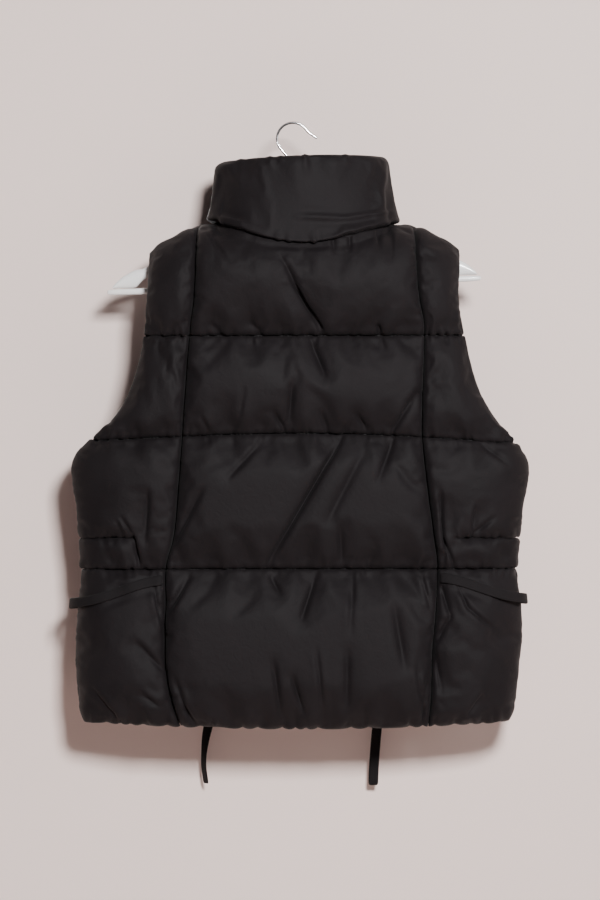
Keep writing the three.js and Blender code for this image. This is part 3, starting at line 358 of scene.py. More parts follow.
def neckline():
    x = NECK_X - NECK_HALF * np.cos(np.pi * np.arange(41) / 40)
    return np.concatenate([body_point(face, x, top_edge(face, x)) for face in (BACK, FRONT)])


def nearest(points, places):
    """Distance from each point to the nearest of some places."""
    flat = points.reshape(-1, 3)
    found = [np.linalg.norm(chunk[:, None] - places[None], axis=-1).min(1) for chunk in np.array_split(flat, 12)]
    return np.concatenate(found).reshape(points.shape[:-1])


def fold_depth(folds, x, z):
    """Depth of the wide troughs that the folds press into the padding."""
    deep = np.zeros_like(x)
    for x1, z1, x2, z2, most, half in folds:
        dx, dz = x2 - x1, z2 - z1
        t = np.clip(((x - x1) * dx + (z - z1) * dz) / (dx * dx + dz * dz), 0, 1)
        away = np.hypot(x - x1 - t * dx, z - z1 - t * dz)
        taper = 0.55 + 0.45 * np.sin(np.pi * np.clip(t, 0.02, 0.98))
        deep = np.maximum(deep, most * taper * np.exp(-((away / half) ** 2)))
    return deep


def at_length(along, values, at):
    """The row of values, which lie at the lengths along, at one length."""
    return np.array([np.interp(at, along, values[:, axis]) for axis in range(3)])


def step_lengths(points, axis):
    steps = np.linalg.norm(np.diff(points, axis=axis), axis=-1)
    start = np.zeros_like(steps[:1] if axis == 0 else steps[:, :1])
    return np.concatenate([start, np.cumsum(steps, axis)], axis)


def line_distances(points, rows):
    """Distances up and down to the nearest quilting line, and to the short line of the sides."""
    band, share = rows
    length = step_lengths(points, 1)
    is_line = (share == 0) | (np.arange(len(share)) == 0) | (np.arange(len(share)) == len(share) - 1)
    is_band = is_line & (band == BAND_LINE + 1) & (share == 0)
    solid = np.nonzero(is_line & ~is_band)[0]
    index = np.arange(len(share))
    above = solid[np.searchsorted(solid, index, side="right") - 1]
    below = solid[np.clip(np.searchsorted(solid, index, side="left"), 0, len(solid) - 1)]
    up, down = length - length[:, above], length[:, below] - length
    has_band = (band == BAND_LINE) | (band == BAND_LINE + 1)
    to_band = np.where(has_band, np.abs(length - length[:, np.nonzero(is_band)[0][0], None]), np.inf)
    return up, down, to_band, is_line, is_band


def wall_at(face, p, to_edge, to_seam, up, down, to_band):
    """Wall thickness over the inner points p of a panel."""
    x, z = p[..., 0], p[..., 2]
    middle, half, _ = section(z)
    out = np.clip(np.abs(x - middle) / half, 0, 1)
    below = smooth((UNDERARM + 10 - z) / 40) * smooth((z - LINES[HEM_LINE, 1] + 4) / 30)
    seam = lerp(SEAM_WALL, SIDE_WALL, below * out**5)
    in_band = np.maximum(smooth((BAND_END[0] - x) / BAND_FADE + 0.5), smooth((x - BAND_END[1]) / BAND_FADE + 0.5))
    groove = 1 - in_band * (1 - rise(to_band, BAND_REACH))
    beyond_collar = rise(nearest(p, neckline()) - COLLAR_FOOT, COLLAR_CLEAR)
    near = np.minimum(up, down)
    rows_rise = rise(up, np.clip((up + down) * BELOW_SHARE, 1, PUFF_REACH))
    rows_rise *= rise(down, np.clip((up + down) * ABOVE_SHARE, 1, PUFF_REACH))
    across_seams = rise(to_edge, EDGE_REACH) * lerp(SEAM_SHARE, 1, rise(to_seam, SEAM_REACH))
    puff = across_seams * rows_rise * groove * beyond_collar
    beside = np.exp(-((near / GATHER_REACH) ** 2))
    gather = sum(share * np.sin(2 * np.pi * x / length + start + face + 0.02 * z)
                 for length, share, start in GATHERS)
    folds = fold_depth(BACK_FOLDS if face == BACK else FRONT_FOLDS, x, z)
    full = (PUFF_WALL - seam) * puff * (1 + gather * beside)
    return np.maximum(seam + full - folds * puff, seam * 0.8)


def make_face(face, stretches, rows):
    """The panels of one face, as inner and outer points: one surface, cut apart at its seams."""
    grids = [inner_grid(face, start, end, columns, rows) for start, end, columns, _ in stretches]
    joined = [grids[0]]
    for grid, (_, _, _, sewn) in zip(grids[1:], stretches[1:]):
        joined.append(grid[1:] if sewn else grid)
    normals = grid_normals(np.concatenate(joined), np.array([0.0, face, 0.0]))
    flat = np.abs(np.concatenate(joined)[..., 1]) < GAP
    normals[flat, 1] = 0
    normals = unit(normals)
    panels, first = [], 0
    for k, (grid, (_, _, columns, sewn)) in enumerate(zip(grids, stretches)):
        first -= 1 if sewn else 0
        here = normals[first:first + columns]
        first += columns
        length = step_lengths(grid, 0)
        up, down, to_band, is_line, is_band = line_distances(grid, rows)
        ends = ((sewn, length), (k + 1 < len(stretches) and stretches[k + 1][3], length[-1] - length))
        far = np.full(length.shape, np.inf)
        to_edge = np.minimum(*(far if is_sewn else away for is_sewn, away in ends))
        to_seam = np.minimum(*(away if is_sewn else far for is_sewn, away in ends))
        to_sides = np.minimum(to_edge, to_seam)
        wall = wall_at(face, grid, to_edge, to_seam, up, down, to_band)
        inner, outer = grid, grid + here * wall[..., None]
        for edge, inside, (is_sewn, _) in ((0, 1, ends[0]), (-1, -2, ends[1])):
            if is_sewn:
                for points in (inner, outer):
                    points[edge] += unit(points[inside] - points[edge]) * GAP / 2
        panels.append({
            "inner": inner, "outer": outer, "near": np.minimum(up, down), "to_sides": to_sides,
            "to_band": to_band, "is_line": is_line, "is_band": is_band, "face": face,
        })
    return panels


def edge_height(panels, x):
    """The highest point of the body's top edge near each x."""
    ends = np.concatenate([panel[side][:, 0] for panel in panels for side in ("inner", "outer")])
    near = np.abs(ends[:, 0][None] - x[:, None]) < NECK_NEAR + 1
    return np.where(near, ends[:, 2][None], -np.inf).max(1)


def make_collar(panels, columns, count):
    """The stand collar: a padded ring from the neckline up, open at the zip."""
    first = math.asin(ZIP_HALF / NECK_HALF)
    turn = np.linspace(first, 2 * np.pi - first, columns)
    base = np.zeros((columns, 3))
    for face in (BACK, FRONT):
        here = (np.cos(turn) > 0) == (face == FRONT)
        x = NECK_X - NECK_HALF * np.sin(turn[here])
        points = body_point(face, x, top_edge(face, x))
        points[:, 2] = edge_height([p for p in panels if p["face"] == face], x) + NECK_GAP - COLLAR_SINK
        base[here] = points
    x = NECK_X - COLLAR_TOP_HALF * np.sin(turn)
    z = COLLAR_TOP - COLLAR_SIDE_DROP * np.sin(turn) ** 2 + COLLAR_TILT * (x - NECK_X)
    top = np.stack([x, COLLAR_TOP_DEPTH * np.cos(turn), z], -1)
    t = np.linspace(0, 1, count)
    share = lerp(t, (1 - np.cos(np.pi * t)) / 2, 0.6)
    inner = lerp(base[:, None], top[:, None], (1 - (1 - share) ** COLLAR_TAPER)[None, :, None])
    inner[..., 2] = lerp(base[:, None, 2], top[:, None, 2], share[None])
    inner[0, :, 0], inner[-1, :, 0] = NECK_X - ZIP_HALF, NECK_X + ZIP_HALF
    outwards = inner * (1, 1, 0) - (NECK_X, 0, 0)
    normals = grid_normals(inner, outwards)
    normals[:, 0, 2] = 0
    normals = unit(normals)
    length = step_lengths(inner, 1)
    below, above = length, length[:, -1:] - length
    to_zip = np.where(inner[..., 1] < 0, np.inf, np.abs(inner[..., 0] - NECK_X) - ZIP_HALF)
    seam = lerp(SEAM_WALL, COLLAR_EDGE_WALL, t)[None]
    wave = sum(part * np.sin(2 * np.pi * inner[..., 0] / long + start) for long, part, start in GATHERS)
    beside = np.exp(-((above / GATHER_REACH) ** 2))
    beyond_zip = rise(to_zip, COLLAR_ZIP_REACH)
    puff = rise(below, COLLAR_BASE_REACH) * rise(above, COLLAR_TOP_REACH) * beyond_zip
    outer = inner + normals * (seam + (COLLAR_WALL - seam) * puff * (1 + wave * beside))[..., None]
    outer[:, 1:, 2] -= COLLAR_SAG * beyond_zip[:, 1:] * ((1 - t[1:]) ** 2)[None]
    is_line = np.zeros(count, bool)
    is_line[[0, -1]] = True
    return {
        "inner": inner, "outer": outer, "near": np.minimum(below, above), "to_sides": to_zip,
        "to_band": np.full(to_zip.shape, np.inf), "is_line": is_line, "is_band": np.zeros(count, bool), "face": 0,
    }


class Cloth:
    """Places on the outside of the panels, which the ties, loops, zip and stitches share."""

    def __init__(self, spacing):
        rows = row_shares(spacing)
        wide = lambda length: round(length / spacing)
        self.back = make_face(BACK, [
            (edge_place(-1), seam_place(1), wide(125), False),
            (seam_place(1), seam_place(2), wide(300), True),
            (seam_place(2), edge_place(1), wide(115), True),
        ], rows)
        self.front = make_face(FRONT, [
            (edge_place(-1), zip_place(-1), wide(265), False),
            (zip_place(1), edge_place(1), wide(265), False),
        ], rows)
        self.collar = make_collar(self.back + self.front, wide(600), wide(115))
        self.panels = dict(zip(
            ("back_side_left", "back_centre", "back_side_right", "front_left", "front_right", "collar"),
            [*self.back, *self.front, self.collar],
        ))


def wall_at_column(panel, column, z):
    """A place on a panel's outer wall at a column, which may lie between two, and a height."""
    last = len(panel["outer"]) - 1
    i = int(np.clip(math.floor(column), 0, last - 1))
    t = float(np.clip(column - i, 0, 1))
    outer = lerp(panel["outer"][i], panel["outer"][i + 1], t)
    inner = lerp(panel["inner"][i], panel["inner"][i + 1], t)
    lower = np.nonzero(outer[1:, 2] <= z)[0]
    j = int(lower[0]) if len(lower) else len(outer) - 2
    s = float(np.clip((z - outer[j, 2]) / (outer[j + 1, 2] - outer[j, 2]), 0, 1))
    place, inside = lerp(outer[j], outer[j + 1], s), lerp(inner[j], inner[j + 1], s)
    return place, unit(place - inside)


def wall_at_x(panel, x, z):
    """The same at a distance to the side."""
    low, high = 0.0, float(len(panel["outer"]) - 1)
    for _ in range(20):
        column = (low + high) / 2
        if wall_at_column(panel, column, z)[0][0] < x:
            low = column
        else:
            high = column
    return wall_at_column(panel, low, z)


ACROSS = np.linspace(-1, 1, 5)


def tie_stations(cloth, side):
    """Places across a tie and their normals, from its seam round the side, through its loop and down."""
    tie, left = TIES[side], side == "left"
    back, front = cloth.back[0 if left else 2], cloth.front[0 if left else 1]
    last_back, last_front = len(back["outer"]) - 1, len(front["outer"]) - 1
    half, lift, inwards = TIE_WIDTH / 2, TIE_SEAT + TIE_THICK / 2, 1 if left else -1
    loop_x, loop_z = tie["loop"]
    stations = []

    def across_panel(panel, column, z, off):
        found = [wall_at_column(panel, column, z + w * half) for w in ACROSS]
        stations.append([(place + normal * (lift + off), normal) for place, normal in found])

    for out in np.linspace(0.02, 1, 33):
        column = last_back * (1 - out if left else out)
        across_panel(back, column, tie["seam"] - smooth(out * 0.9) * tie["droop"],
                     TIE_RISE * smooth(out * 10) + tie["loose"] * smooth((out - 0.5) * 2))
    front_column = lambda c: c if left else last_front - c
    loop_column = 0.0
    while loop_column < last_front:
        if (wall_at_column(front, front_column(loop_column), loop_z)[0][0] - loop_x) * inwards >= 0:
            break
        loop_column += 0.25
    for t in np.linspace(0, 1, 41)[1:]:
        across_panel(front, front_column(t * loop_column), lerp(tie["seam"] - tie["droop"], loop_z, smooth(t)),
                     (tie["loose"] + TIE_RISE) * (1 - smooth(t * 2)))
    for turn in np.linspace(0, np.pi / 2, 11)[1:]:
        places = []
        for w in ACROSS:
            reach = TIE_TURN + w * half
            x, z = loop_x + inwards * reach * math.sin(turn), loop_z - TIE_TURN + reach * math.cos(turn)
            place, normal = wall_at_x(front, x, z)
            places.append((place + normal * (lift + 0.3), normal))
        stations.append(places)
    start_z, low = loop_z - TIE_TURN, tie["tail"][-1][0]
    route = np.array([(start_z, loop_x + inwards * TIE_TURN), *tie["tail"]], float)
    outest = 0.0
    for z in np.linspace(start_z, low, 36)[1:]:
        x = float(curve(route, 1, np.array(z)))
        for w in ACROSS:
            y = wall_at_x(front, x + w * half, max(z, TAIL_ROLL_FROM))[0][1]
            outest = max(outest, y + lift + 0.6)
        roll = tie["twist"] * float(smooth((TAIL_ROLL_FROM - z) / TAIL_ROLL_OVER))
        normal = np.array([math.sin(roll), math.cos(roll), 0])
        aside = np.array([math.cos(roll), -math.sin(roll), 0]) * inwards
        stations.append([(np.array([x, outest, z]) + aside * w * half, normal) for w in ACROSS])
    return np.array(stations)


def loop_stations(cloth, side):
    """Places across a loop of tape, over the tie and sewn down above and below it."""
    left = side == "left"
    front, inwards = cloth.front[0 if left else 1], 1 if left else -1
    loop_x, loop_z = TIES[side]["loop"]
    over, seat = 2 * TIE_SEAT + TIE_THICK + LOOP_THICK / 2 + 0.6, TIE_SEAT + LOOP_THICK / 2
    shape = np.array([
        (LOOP_REACH + 3, seat), (LOOP_REACH - 1, seat), (TIE_WIDTH / 2 + 2, over), (0, over + 0.6),
        (-TIE_WIDTH / 2 - 2, over), (-LOOP_REACH + 1, seat), (-LOOP_REACH - 3, seat),
    ])
    stations = []
    for up in np.linspace(LOOP_REACH + 3, -LOOP_REACH - 3, 25):
        lift = float(curve(shape, 1, np.array(up)))
        found = [wall_at_x(front, loop_x - inwards * LOOP_HALF + w * LOOP_HALF, loop_z + up) for w in ACROSS]
        stations.append([(place + normal * lift, normal) for place, normal in found])
    return np.array(stations)


def zip_line(cloth):
    """The zip's line from the hem to the top of the collar, with its normals."""
    left, right, collar = *cloth.front, cloth.collar
    inner = np.concatenate([
        (left["inner"][-1] + right["inner"][0])[::-1] / 2, (collar["inner"][0] + collar["inner"][-1])[1:] / 2])
    outer = np.concatenate([
        (left["outer"][-1] + right["outer"][0])[::-1] / 2, (collar["outer"][0] + collar["outer"][-1])[1:] / 2])
    normals = unit((outer - inner) * (0, 1, 1))
    return inner + normals * SEAM_WALL / 2, normals


def new_piece(name, bm, material, smooth_faces=True, body="garment"):
    mesh = bpy.data.meshes.new(name)
    bm.to_mesh(mesh)
    bm.free()
    mesh.shade_smooth() if smooth_faces else mesh.shade_flat()
    mesh.materials.append(material)
    piece = bpy.data.objects.new(name, mesh)
    bpy.context.scene.collection.objects.link(piece)
    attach(piece, body)
    return piece


def lay_block(bm, middle, axes, size):
    """A block with its middle at a place and its three sides along axes, all in millimetres."""
    turn = Matrix(np.array(axes).T.tolist()).to_4x4()
    size = Matrix.Diagonal((*(side * MM for side in size), 1))
    bmesh.ops.create_cube(bm, size=1.0, matrix=Matrix.Translation(Vector(middle) * MM) @ turn @ size)


def copy_node(node):
    """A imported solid's mesh as a bmesh, with its doubled points merged."""
    bm = bmesh.new()
    bm.from_mesh(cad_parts[node].data)
    bmesh.ops.remove_doubles(bm, verts=bm.verts[:], dist=MERGE)
    return bm


def bevel_edges(bm, edges, offset, segments=1):
    bmesh.ops.bevel(
        bm, geom=edges, affect="EDGES", offset=offset, segments=segments, profile=0.5, material=-1)


def shell(name, outer, inner, material):
    """A closed shell: a grid for its outside, extruded to its inside, with a map in metres of cloth."""
    columns, rows = outer.shape[:2]
    bm = bmesh.new()
    bmesh.ops.create_grid(bm, x_segments=columns - 1, y_segments=rows - 1, size=0.5)
    station = bm.verts.layers.int.new("station")
    for k, vert in enumerate(bm.verts):
        vert[station] = k
    made = bmesh.ops.extrude_face_region(bm, geom=bm.faces[:], use_keep_orig=True)
    inside = {item for item in made["geom"] if isinstance(item, bmesh.types.BMVert)}
    for vert in bm.verts:
        row, column = divmod(vert[station], columns)
        vert.co = Vector((inner if vert in inside else outer)[column, row]) * MM
        vert[station] = vert[station] * 2 + (vert in inside)
    bmesh.ops.recalc_face_normals(bm, faces=bm.faces[:])
    piece = new_piece(name, bm, material)
    mesh = piece.data
    stations = np.zeros(len(mesh.vertices), np.int32)
    mesh.attributes["station"].data.foreach_get("value", stations)
    corners = np.zeros(len(mesh.loops), np.int32)
    mesh.loops.foreach_get("vertex_index", corners)
    row, column = np.divmod(stations[corners] // 2, columns)
    across, down = step_lengths(outer, 0) * MM, step_lengths(outer, 1) * MM
    chart = np.stack([across[column, rows // 2], -down[columns // 2, row]], -1)
    layer = mesh.uv_layers.new(name="cloth")
    layer.data.foreach_set("uv", chart.astype(np.float32).ravel())
    return piece, stations


def tucks(panel):
    """Folds that start at a panel's seams, each as two points, a depth and a half width, drawn at random."""
    draw = np.random.default_rng(TUCK_SEED + int(abs(panel["outer"][0, 0]).sum()))
    outer, found = panel["outer"], []
    columns, rows = outer.shape[:2]
    lines = [j for j in np.nonzero(panel["is_line"])[0] if 0 < j]
    across = step_lengths(outer, 0)[:, rows // 2]
    for j in lines:
        for way in (-1, 1):
            if not 0 <= j + way < rows:
                continue
            at = draw.uniform(4, TUCK_APART)
            while at < across[-1]:
                i = int(np.searchsorted(across, at))
                if panel["is_band"][j] and BAND_END[0] < outer[i, j, 0] < BAND_END[1]:
                    at += TUCK_APART
                    continue
                long = TUCK_LONG * draw.uniform(0.35, 1.0) * (1.3 if j == rows - 1 else 1.0 if way < 0 else 0.8)
                lean = draw.normal(0, 0.28)
                x, z = outer[i, j, 0], outer[i, j, 2]
                found.append((x, z, x + lean * long, z - way * long, TUCK_DEEP * draw.uniform(0.3, 1.0),
                              TUCK_HALF * draw.uniform(0.6, 1.15)))
                at += TUCK_APART * draw.uniform(0.5, 1.9)
    for i, way in ((0, 1), (columns - 1, -1)):
        down = step_lengths(outer, 1)[i]
        at = draw.uniform(40, 60)
        while at < down[-1] - 10:
            j = int(np.searchsorted(down, at))
            long = TUCK_LONG * draw.uniform(0.25, 0.7)
            x, z = outer[i, j, 0], outer[i, j, 2]
            found.append((x, z, x + way * long, z + draw.normal(-0.2, 0.35) * long,
                          TUCK_DEEP * draw.uniform(0.2, 0.7), TUCK_HALF * draw.uniform(0.7, 1.1)))
            at += TUCK_APART * draw.uniform(0.9, 2.6)
    return found


def beside_line(panel):
    """Distance from the nearest quilting line, and 1 below that line or -1 above it."""
    length = step_lengths(panel["outer"], 1)
    rows = np.nonzero(panel["is_line"])[0][1:-1]
    offset = length[:, :, None] - length[:, None, rows]
    x = panel["outer"][:, None, rows, 0]
    unsewn = panel["is_band"][rows] & (x > BAND_END[0]) & (x < BAND_END[1])
    best = np.where(unsewn, 999.0, np.abs(offset)).argmin(-1)[..., None]
    offset = np.take_along_axis(offset, best, -1)[..., 0]
    return np.minimum(np.abs(offset), 99), np.sign(offset)


def tuck_depth(folds, x, z, seam):
    """Troughs with a low ridge at each side; a tuck is deepest near the seam where it starts."""
    deep = np.zeros_like(x)
    for x1, z1, x2, z2, most, half in folds:
        near = (np.abs(x - (x1 + x2) / 2) < 45) & (np.abs(z - (z1 + z2) / 2) < 45)
        dx, dz = x2 - x1, z2 - z1
        px, pz = x[near], z[near]
        t = np.clip(((px - x1) * dx + (pz - z1) * dz) / (dx * dx + dz * dz), 0, 1)
        away = np.hypot(px - x1 - t * dx, pz - z1 - t * dz)
        width = half * (1 + 0.7 * t)
        trough = np.exp(-((away / width) ** 2)) - 0.35 * np.exp(-(((away - 2.1 * width) / width) ** 2))
        deep[near] += most * (1 - t) ** 0.8 * trough
    return deep * smooth(seam / 3.5)


def lay_creases(folds, x, z):
    """The long creases, crisper than the troughs under them: their depth, and how their sides close in x and z."""
    deep, close_x, close_z = np.zeros_like(x), np.zeros_like(x), np.zeros_like(x)
    for x1, z1, x2, z2, most, half in folds:
        long = math.hypot(x2 - x1, z2 - z1)
        ux, uz = (x2 - x1) / long, (z2 - z1) / long
        t = ((x - x1) * ux + (z - z1) * uz) / long
        aside = (x - x1) * uz - (z - z1) * ux
        away, width = np.abs(aside), max(0.3 * half, 2.3)
        taper = np.sin(np.pi * np.clip(0.12 + 0.76 * t, 0, 1)) ** 0.8
        trough = np.exp(-((away / width) ** 2)) - 0.35 * np.exp(-(((away - 2.6 * width) / (1.5 * width)) ** 2))
        deep += 0.55 * most * taper * trough
        near = CREASE_CLOSE * taper * min(1, most / 8) * aside * np.exp(-((away / CREASE_REACH) ** 2))
        close_x -= near * uz
        close_z += near * ux
    return deep, close_x, close_z


def float_attribute(mesh, name, values=None):
    if values is None:
        found = np.zeros(len(mesh.vertices), np.float32)
        mesh.attributes[name].data.foreach_get("value", found)
        return found.astype(float)
    mesh.attributes.new(name, "FLOAT", "POINT").data.foreach_set("value", values.astype(np.float32))


def vertex_normals(mesh):
    found = np.zeros(len(mesh.vertices) * 3)
    mesh.vertex_normals.foreach_get("vector", found)
    return found.reshape(-1, 3)


def make_finer(piece):
    """Puts a piece's subdivision into its mesh, so that creases can follow on the finer one."""
    add_subdivision(piece, 1)
    finer = bpy.data.meshes.new_from_object(piece.evaluated_get(bpy.context.evaluated_depsgraph_get()))
    piece.modifiers.clear()
    old, piece.data = piece.data, finer
    bpy.data.meshes.remove(old)
    finer.name = piece.name
    finer.shade_smooth()
    return finer


def press_under(points, outside, stations, thick):
    """Moves padding that would stand through a tie back under it."""
    places = stations[:, :, 0].reshape(-1, 3)
    facing = stations[:, :, 1].reshape(-1, 3)
    low, high = places.min(0) - 25, places.max(0) + 25
    near = np.nonzero(((points > low) & (points < high)).all(1) & (outside > 0.5))[0]
    for chunk in np.array_split(near, 40):
        if not len(chunk):
            continue
        offset = points[chunk][:, None] - places[None]
        best = np.linalg.norm(offset, axis=-1).argmin(1)
        offset = offset[np.arange(len(chunk)), best]
        height = (offset * facing[best]).sum(-1)
        aside = np.linalg.norm(offset - height[:, None] * facing[best], axis=-1)
        over = np.clip(height + thick / 2 + 0.7, 0, 16) * (1 - smooth((aside - 3.5) / 9))
        points[chunk] -= facing[best] * over[:, None]
    return points


def add_subdivision(piece, levels):
    modifier = piece.modifiers.new("finer", "SUBSURF")
    modifier.levels = modifier.render_levels = levels
    return modifier


def coordinates(mesh):
    found = np.zeros(len(mesh.vertices) * 3)
    mesh.vertices.foreach_get("co", found)
    return found.reshape(-1, 3)


def set_coordinates(mesh, points):
    mesh.vertices.foreach_set("co", points.ravel())
    mesh.update()


def node_group(name, inputs, outputs, build):
    found = bpy.data.node_groups.get(name)
    if found:
        return found
    group = bpy.data.node_groups.new(name, "ShaderNodeTree")
    for label, kind, value in inputs:
        socket = group.interface.new_socket(name=label, in_out="INPUT", socket_type=kind)
        if value is not None:
            socket.default_value = value
    for label, kind in outputs:
        group.interface.new_socket(name=label, in_out="OUTPUT", socket_type=kind)
    build(group, group.nodes.new("NodeGroupInput"), group.nodes.new("NodeGroupOutput"))
    return group


def add_node(tree, kind, values=(), links=()):
    node = tree.nodes.new(kind)
    for name, value in values:
        if name in node.inputs:
            node.inputs[name].default_value = value
        else:
            setattr(node, name, value)
    for name, source in links:
        tree.links.new(source, node.inputs[name])
    return node


def maths(tree, operation, a, b):
    node = tree.nodes.new("ShaderNodeMath")
    node.operation = operation
    for socket, value in zip(node.inputs, (a, b)):
        if isinstance(value, (int, float)):
            socket.default_value = value
        else:
            tree.links.new(value, socket)
    return node.outputs[0]


def weave_group():
    """Plain woven cloth: threads over and under each other, in the piece's own map."""
    def build(tree, given, out):
        apart = add_node(tree, "ShaderNodeSeparateXYZ", links=[("Vector", given.outputs["Vector"])])
        across = maths(tree, "MULTIPLY", apart.outputs[0], given.outputs["Threads"])
        down = maths(tree, "MULTIPLY", apart.outputs[1], given.outputs["Threads"])
        ridges = maths(tree, "MULTIPLY", maths(tree, "SINE", across, 0), maths(tree, "SINE", down, 0))
        lift = maths(tree, "ABSOLUTE", ridges, 0)
        tree.links.new(lift, out.inputs["Height"])
        slub = add_node(tree, "ShaderNodeTexNoise", [("Scale", 900.0), ("Detail", 2.0)],
                        [("Vector", given.outputs["Vector"])])
        tree.links.new(slub.outputs[0], out.inputs["Slub"])
    return node_group(
        "woven threads",
        [("Vector", "NodeSocketVector", None), ("Threads", "NodeSocketFloat", 9000.0)],
        [("Height", "NodeSocketFloat"), ("Slub", "NodeSocketFloat")], build)


def mottle_group():
    """Soft uneven patches between 0 and 1, at a size in metres."""
    def build(tree, given, out):
        scale = maths(tree, "DIVIDE", 1.0, given.outputs["Size"])
        patches = add_node(tree, "ShaderNodeTexNoise", [("Detail", 4.0), ("Roughness", 0.6)],
                           [("Vector", given.outputs["Vector"]), ("Scale", scale)])
        level = add_node(tree, "ShaderNodeMapRange", [("From Min", 0.3), ("From Max", 0.7)],
                         [("Value", patches.outputs[0])])
        tree.links.new(level.outputs[0], out.inputs["Mask"])
    return node_group(
        "uneven patches",
        [("Vector", "NodeSocketVector", None), ("Size", "NodeSocketFloat", 0.05)],
        [("Mask", "NodeSocketFloat")], build)


def start_material(name, settings):
    material = bpy.data.materials.new(name)
    material.use_nodes = True
    tree = material.node_tree
    shader = tree.nodes["Principled BSDF"]
    for key, value in settings:
        shader.inputs[key].default_value = value
    return material, tree, shader


def placed(tree, coordinate):
    """A Texture Coordinate output: the piece's own map or its object's place."""
    return tree.nodes.new("ShaderNodeTexCoord").outputs[coordinate]


def use_group(tree, group, values, links):
    return add_node(tree, "ShaderNodeGroup", [("node_tree", group), *values], links)


def blend_shaders(tree, factor, low, high, out):
    """Mixes two shaders by a factor and gives the result to an output socket."""
    choose = tree.nodes.new("ShaderNodeMixShader")
    for source, socket in zip((factor, low.outputs[0], high.outputs[0]), choose.inputs):
        tree.links.new(source, socket)
    tree.links.new(choose.outputs[0], out)


def blend_colours(tree, mask, low, high):
    mix = tree.nodes.new("ShaderNodeMix")
    mix.data_type = "RGBA"
    mix.inputs["A"].default_value = (*low, 1)
    mix.inputs["B"].default_value = (*high, 1)
    tree.links.new(mask, mix.inputs["Factor"])
    return mix.outputs["Result"]


def spread(tree, mask, low, high):
    node = add_node(tree, "ShaderNodeMapRange", [("To Min", low), ("To Max", high)], [("Value", mask)])
    return node.outputs[0]


def bump(tree, height, strength, distance, under=None):
    node = add_node(tree, "ShaderNodeBump", [("Strength", strength), ("Distance", distance)], [("Height", height)])
    if under is not None:
        tree.links.new(under, node.inputs["Normal"])
    return node.outputs[0]


def cloth_material(name, colour, roughness, threads, sheen):
    """Woven cloth with small wrinkles and patches that are rubbed a little lighter."""
    material, tree, shader = start_material(name, [
        ("Sheen Weight", sheen), ("Sheen Roughness", 0.5), ("Specular IOR Level", 0.1)])
    chart = placed(tree, "UV")
    solid = placed(tree, "Object")
    weave = use_group(tree, weave_group(), [("Threads", threads)], [("Vector", chart)])
    patches = use_group(tree, mottle_group(), [("Size", 0.06)], [("Vector", solid)])
    lighter = tuple(c * 1.3 + 0.001 for c in colour)
    tree.links.new(blend_colours(tree, patches.outputs["Mask"], colour, lighter), shader.inputs["Base Color"])
    tree.links.new(spread(tree, patches.outputs["Mask"], roughness - 0.05, roughness + 0.06),
                   shader.inputs["Roughness"])
    wrinkles = add_node(tree, "ShaderNodeTexNoise", [("Scale", 130.0), ("Detail", 3.0), ("Distortion", 0.8)],
                        [("Vector", solid)])
    soft = bump(tree, wrinkles.outputs[0], 0.35, 0.0012)
    tree.links.new(bump(tree, weave.outputs["Height"], 0.25, 0.00012, soft), shader.inputs["Normal"])
    return material


def moulded_material(name, colour, roughness, patch=0.03, metallic=0.0, coat=0.0):
    """A moulded or enamelled finish with faint unevenness and dust."""
    material, tree, shader = start_material(name, [("Metallic", metallic), ("Coat Weight", coat)])
    solid = placed(tree, "Object")
    patches = use_group(tree, mottle_group(), [("Size", patch)], [("Vector", solid)])
    dust = use_group(tree, mottle_group(), [("Size", 0.0015)], [("Vector", solid)])
    darker = tuple(c * 0.94 for c in colour)
    tree.links.new(blend_colours(tree, patches.outputs["Mask"], darker, colour), shader.inputs["Base Color"])
    tree.links.new(spread(tree, dust.outputs["Mask"], roughness, roughness + 0.08), shader.inputs["Roughness"])
    tree.links.new(bump(tree, dust.outputs["Mask"], 0.08, 0.0001), shader.inputs["Normal"])
    return material


class VestShellSettings(bpy.types.PropertyGroup):
    """Sizes and colour of the padded shell"""

    spacing: bpy.props.FloatProperty(
        name="Spacing", description="Distance between the points of the cloth before it is made finer",
        default=0.0045, min=0.002, unit="LENGTH", subtype="DISTANCE")
    ease: bpy.props.FloatProperty(
        name="Ease", description="How much larger the cloth is cut than its padded form", default=0.022,
        min=0, max=0.3, subtype="FACTOR")
    seam_ease: bpy.props.FloatProperty(
        name="Seam ease", description="How much more cloth is gathered into each seam", default=0.14,
        min=0, max=0.5, subtype="FACTOR")
    move: bpy.props.FloatProperty(
        name="Largest move", description="How far the padding may move a point of the cloth", default=0.007,
        unit="LENGTH", subtype="DISTANCE")
    colour: bpy.props.FloatVectorProperty(
        name="Shell colour", description="Colour of the woven shell", default=(0.0070, 0.0055, 0.0062),
        subtype="COLOR", size=3, min=0, max=1)


class VestTrimSettings(bpy.types.PropertyGroup):
    """Sizes and colours of the ties, stitches and zip"""

    stitch: bpy.props.FloatProperty(
        name="Stitch", description="Length of one stitch", default=0.0030, unit="LENGTH", subtype="DISTANCE")
    pitch: bpy.props.FloatProperty(
        name="Tooth pitch", description="Distance between two teeth of one side of the zip", default=0.0026,
        unit="LENGTH", subtype="DISTANCE")
    colour: bpy.props.FloatVectorProperty(
        name="Tape colour", description="Colour of the ties, loops and zip tape", default=(0.0068, 0.0056, 0.0061),
        subtype="COLOR", size=3, min=0, max=1)
    teeth: bpy.props.FloatVectorProperty(
        name="Teeth colour", description="Colour of the zip's teeth and slider", default=(0.012, 0.012, 0.013),
        subtype="COLOR", size=3, min=0, max=1)


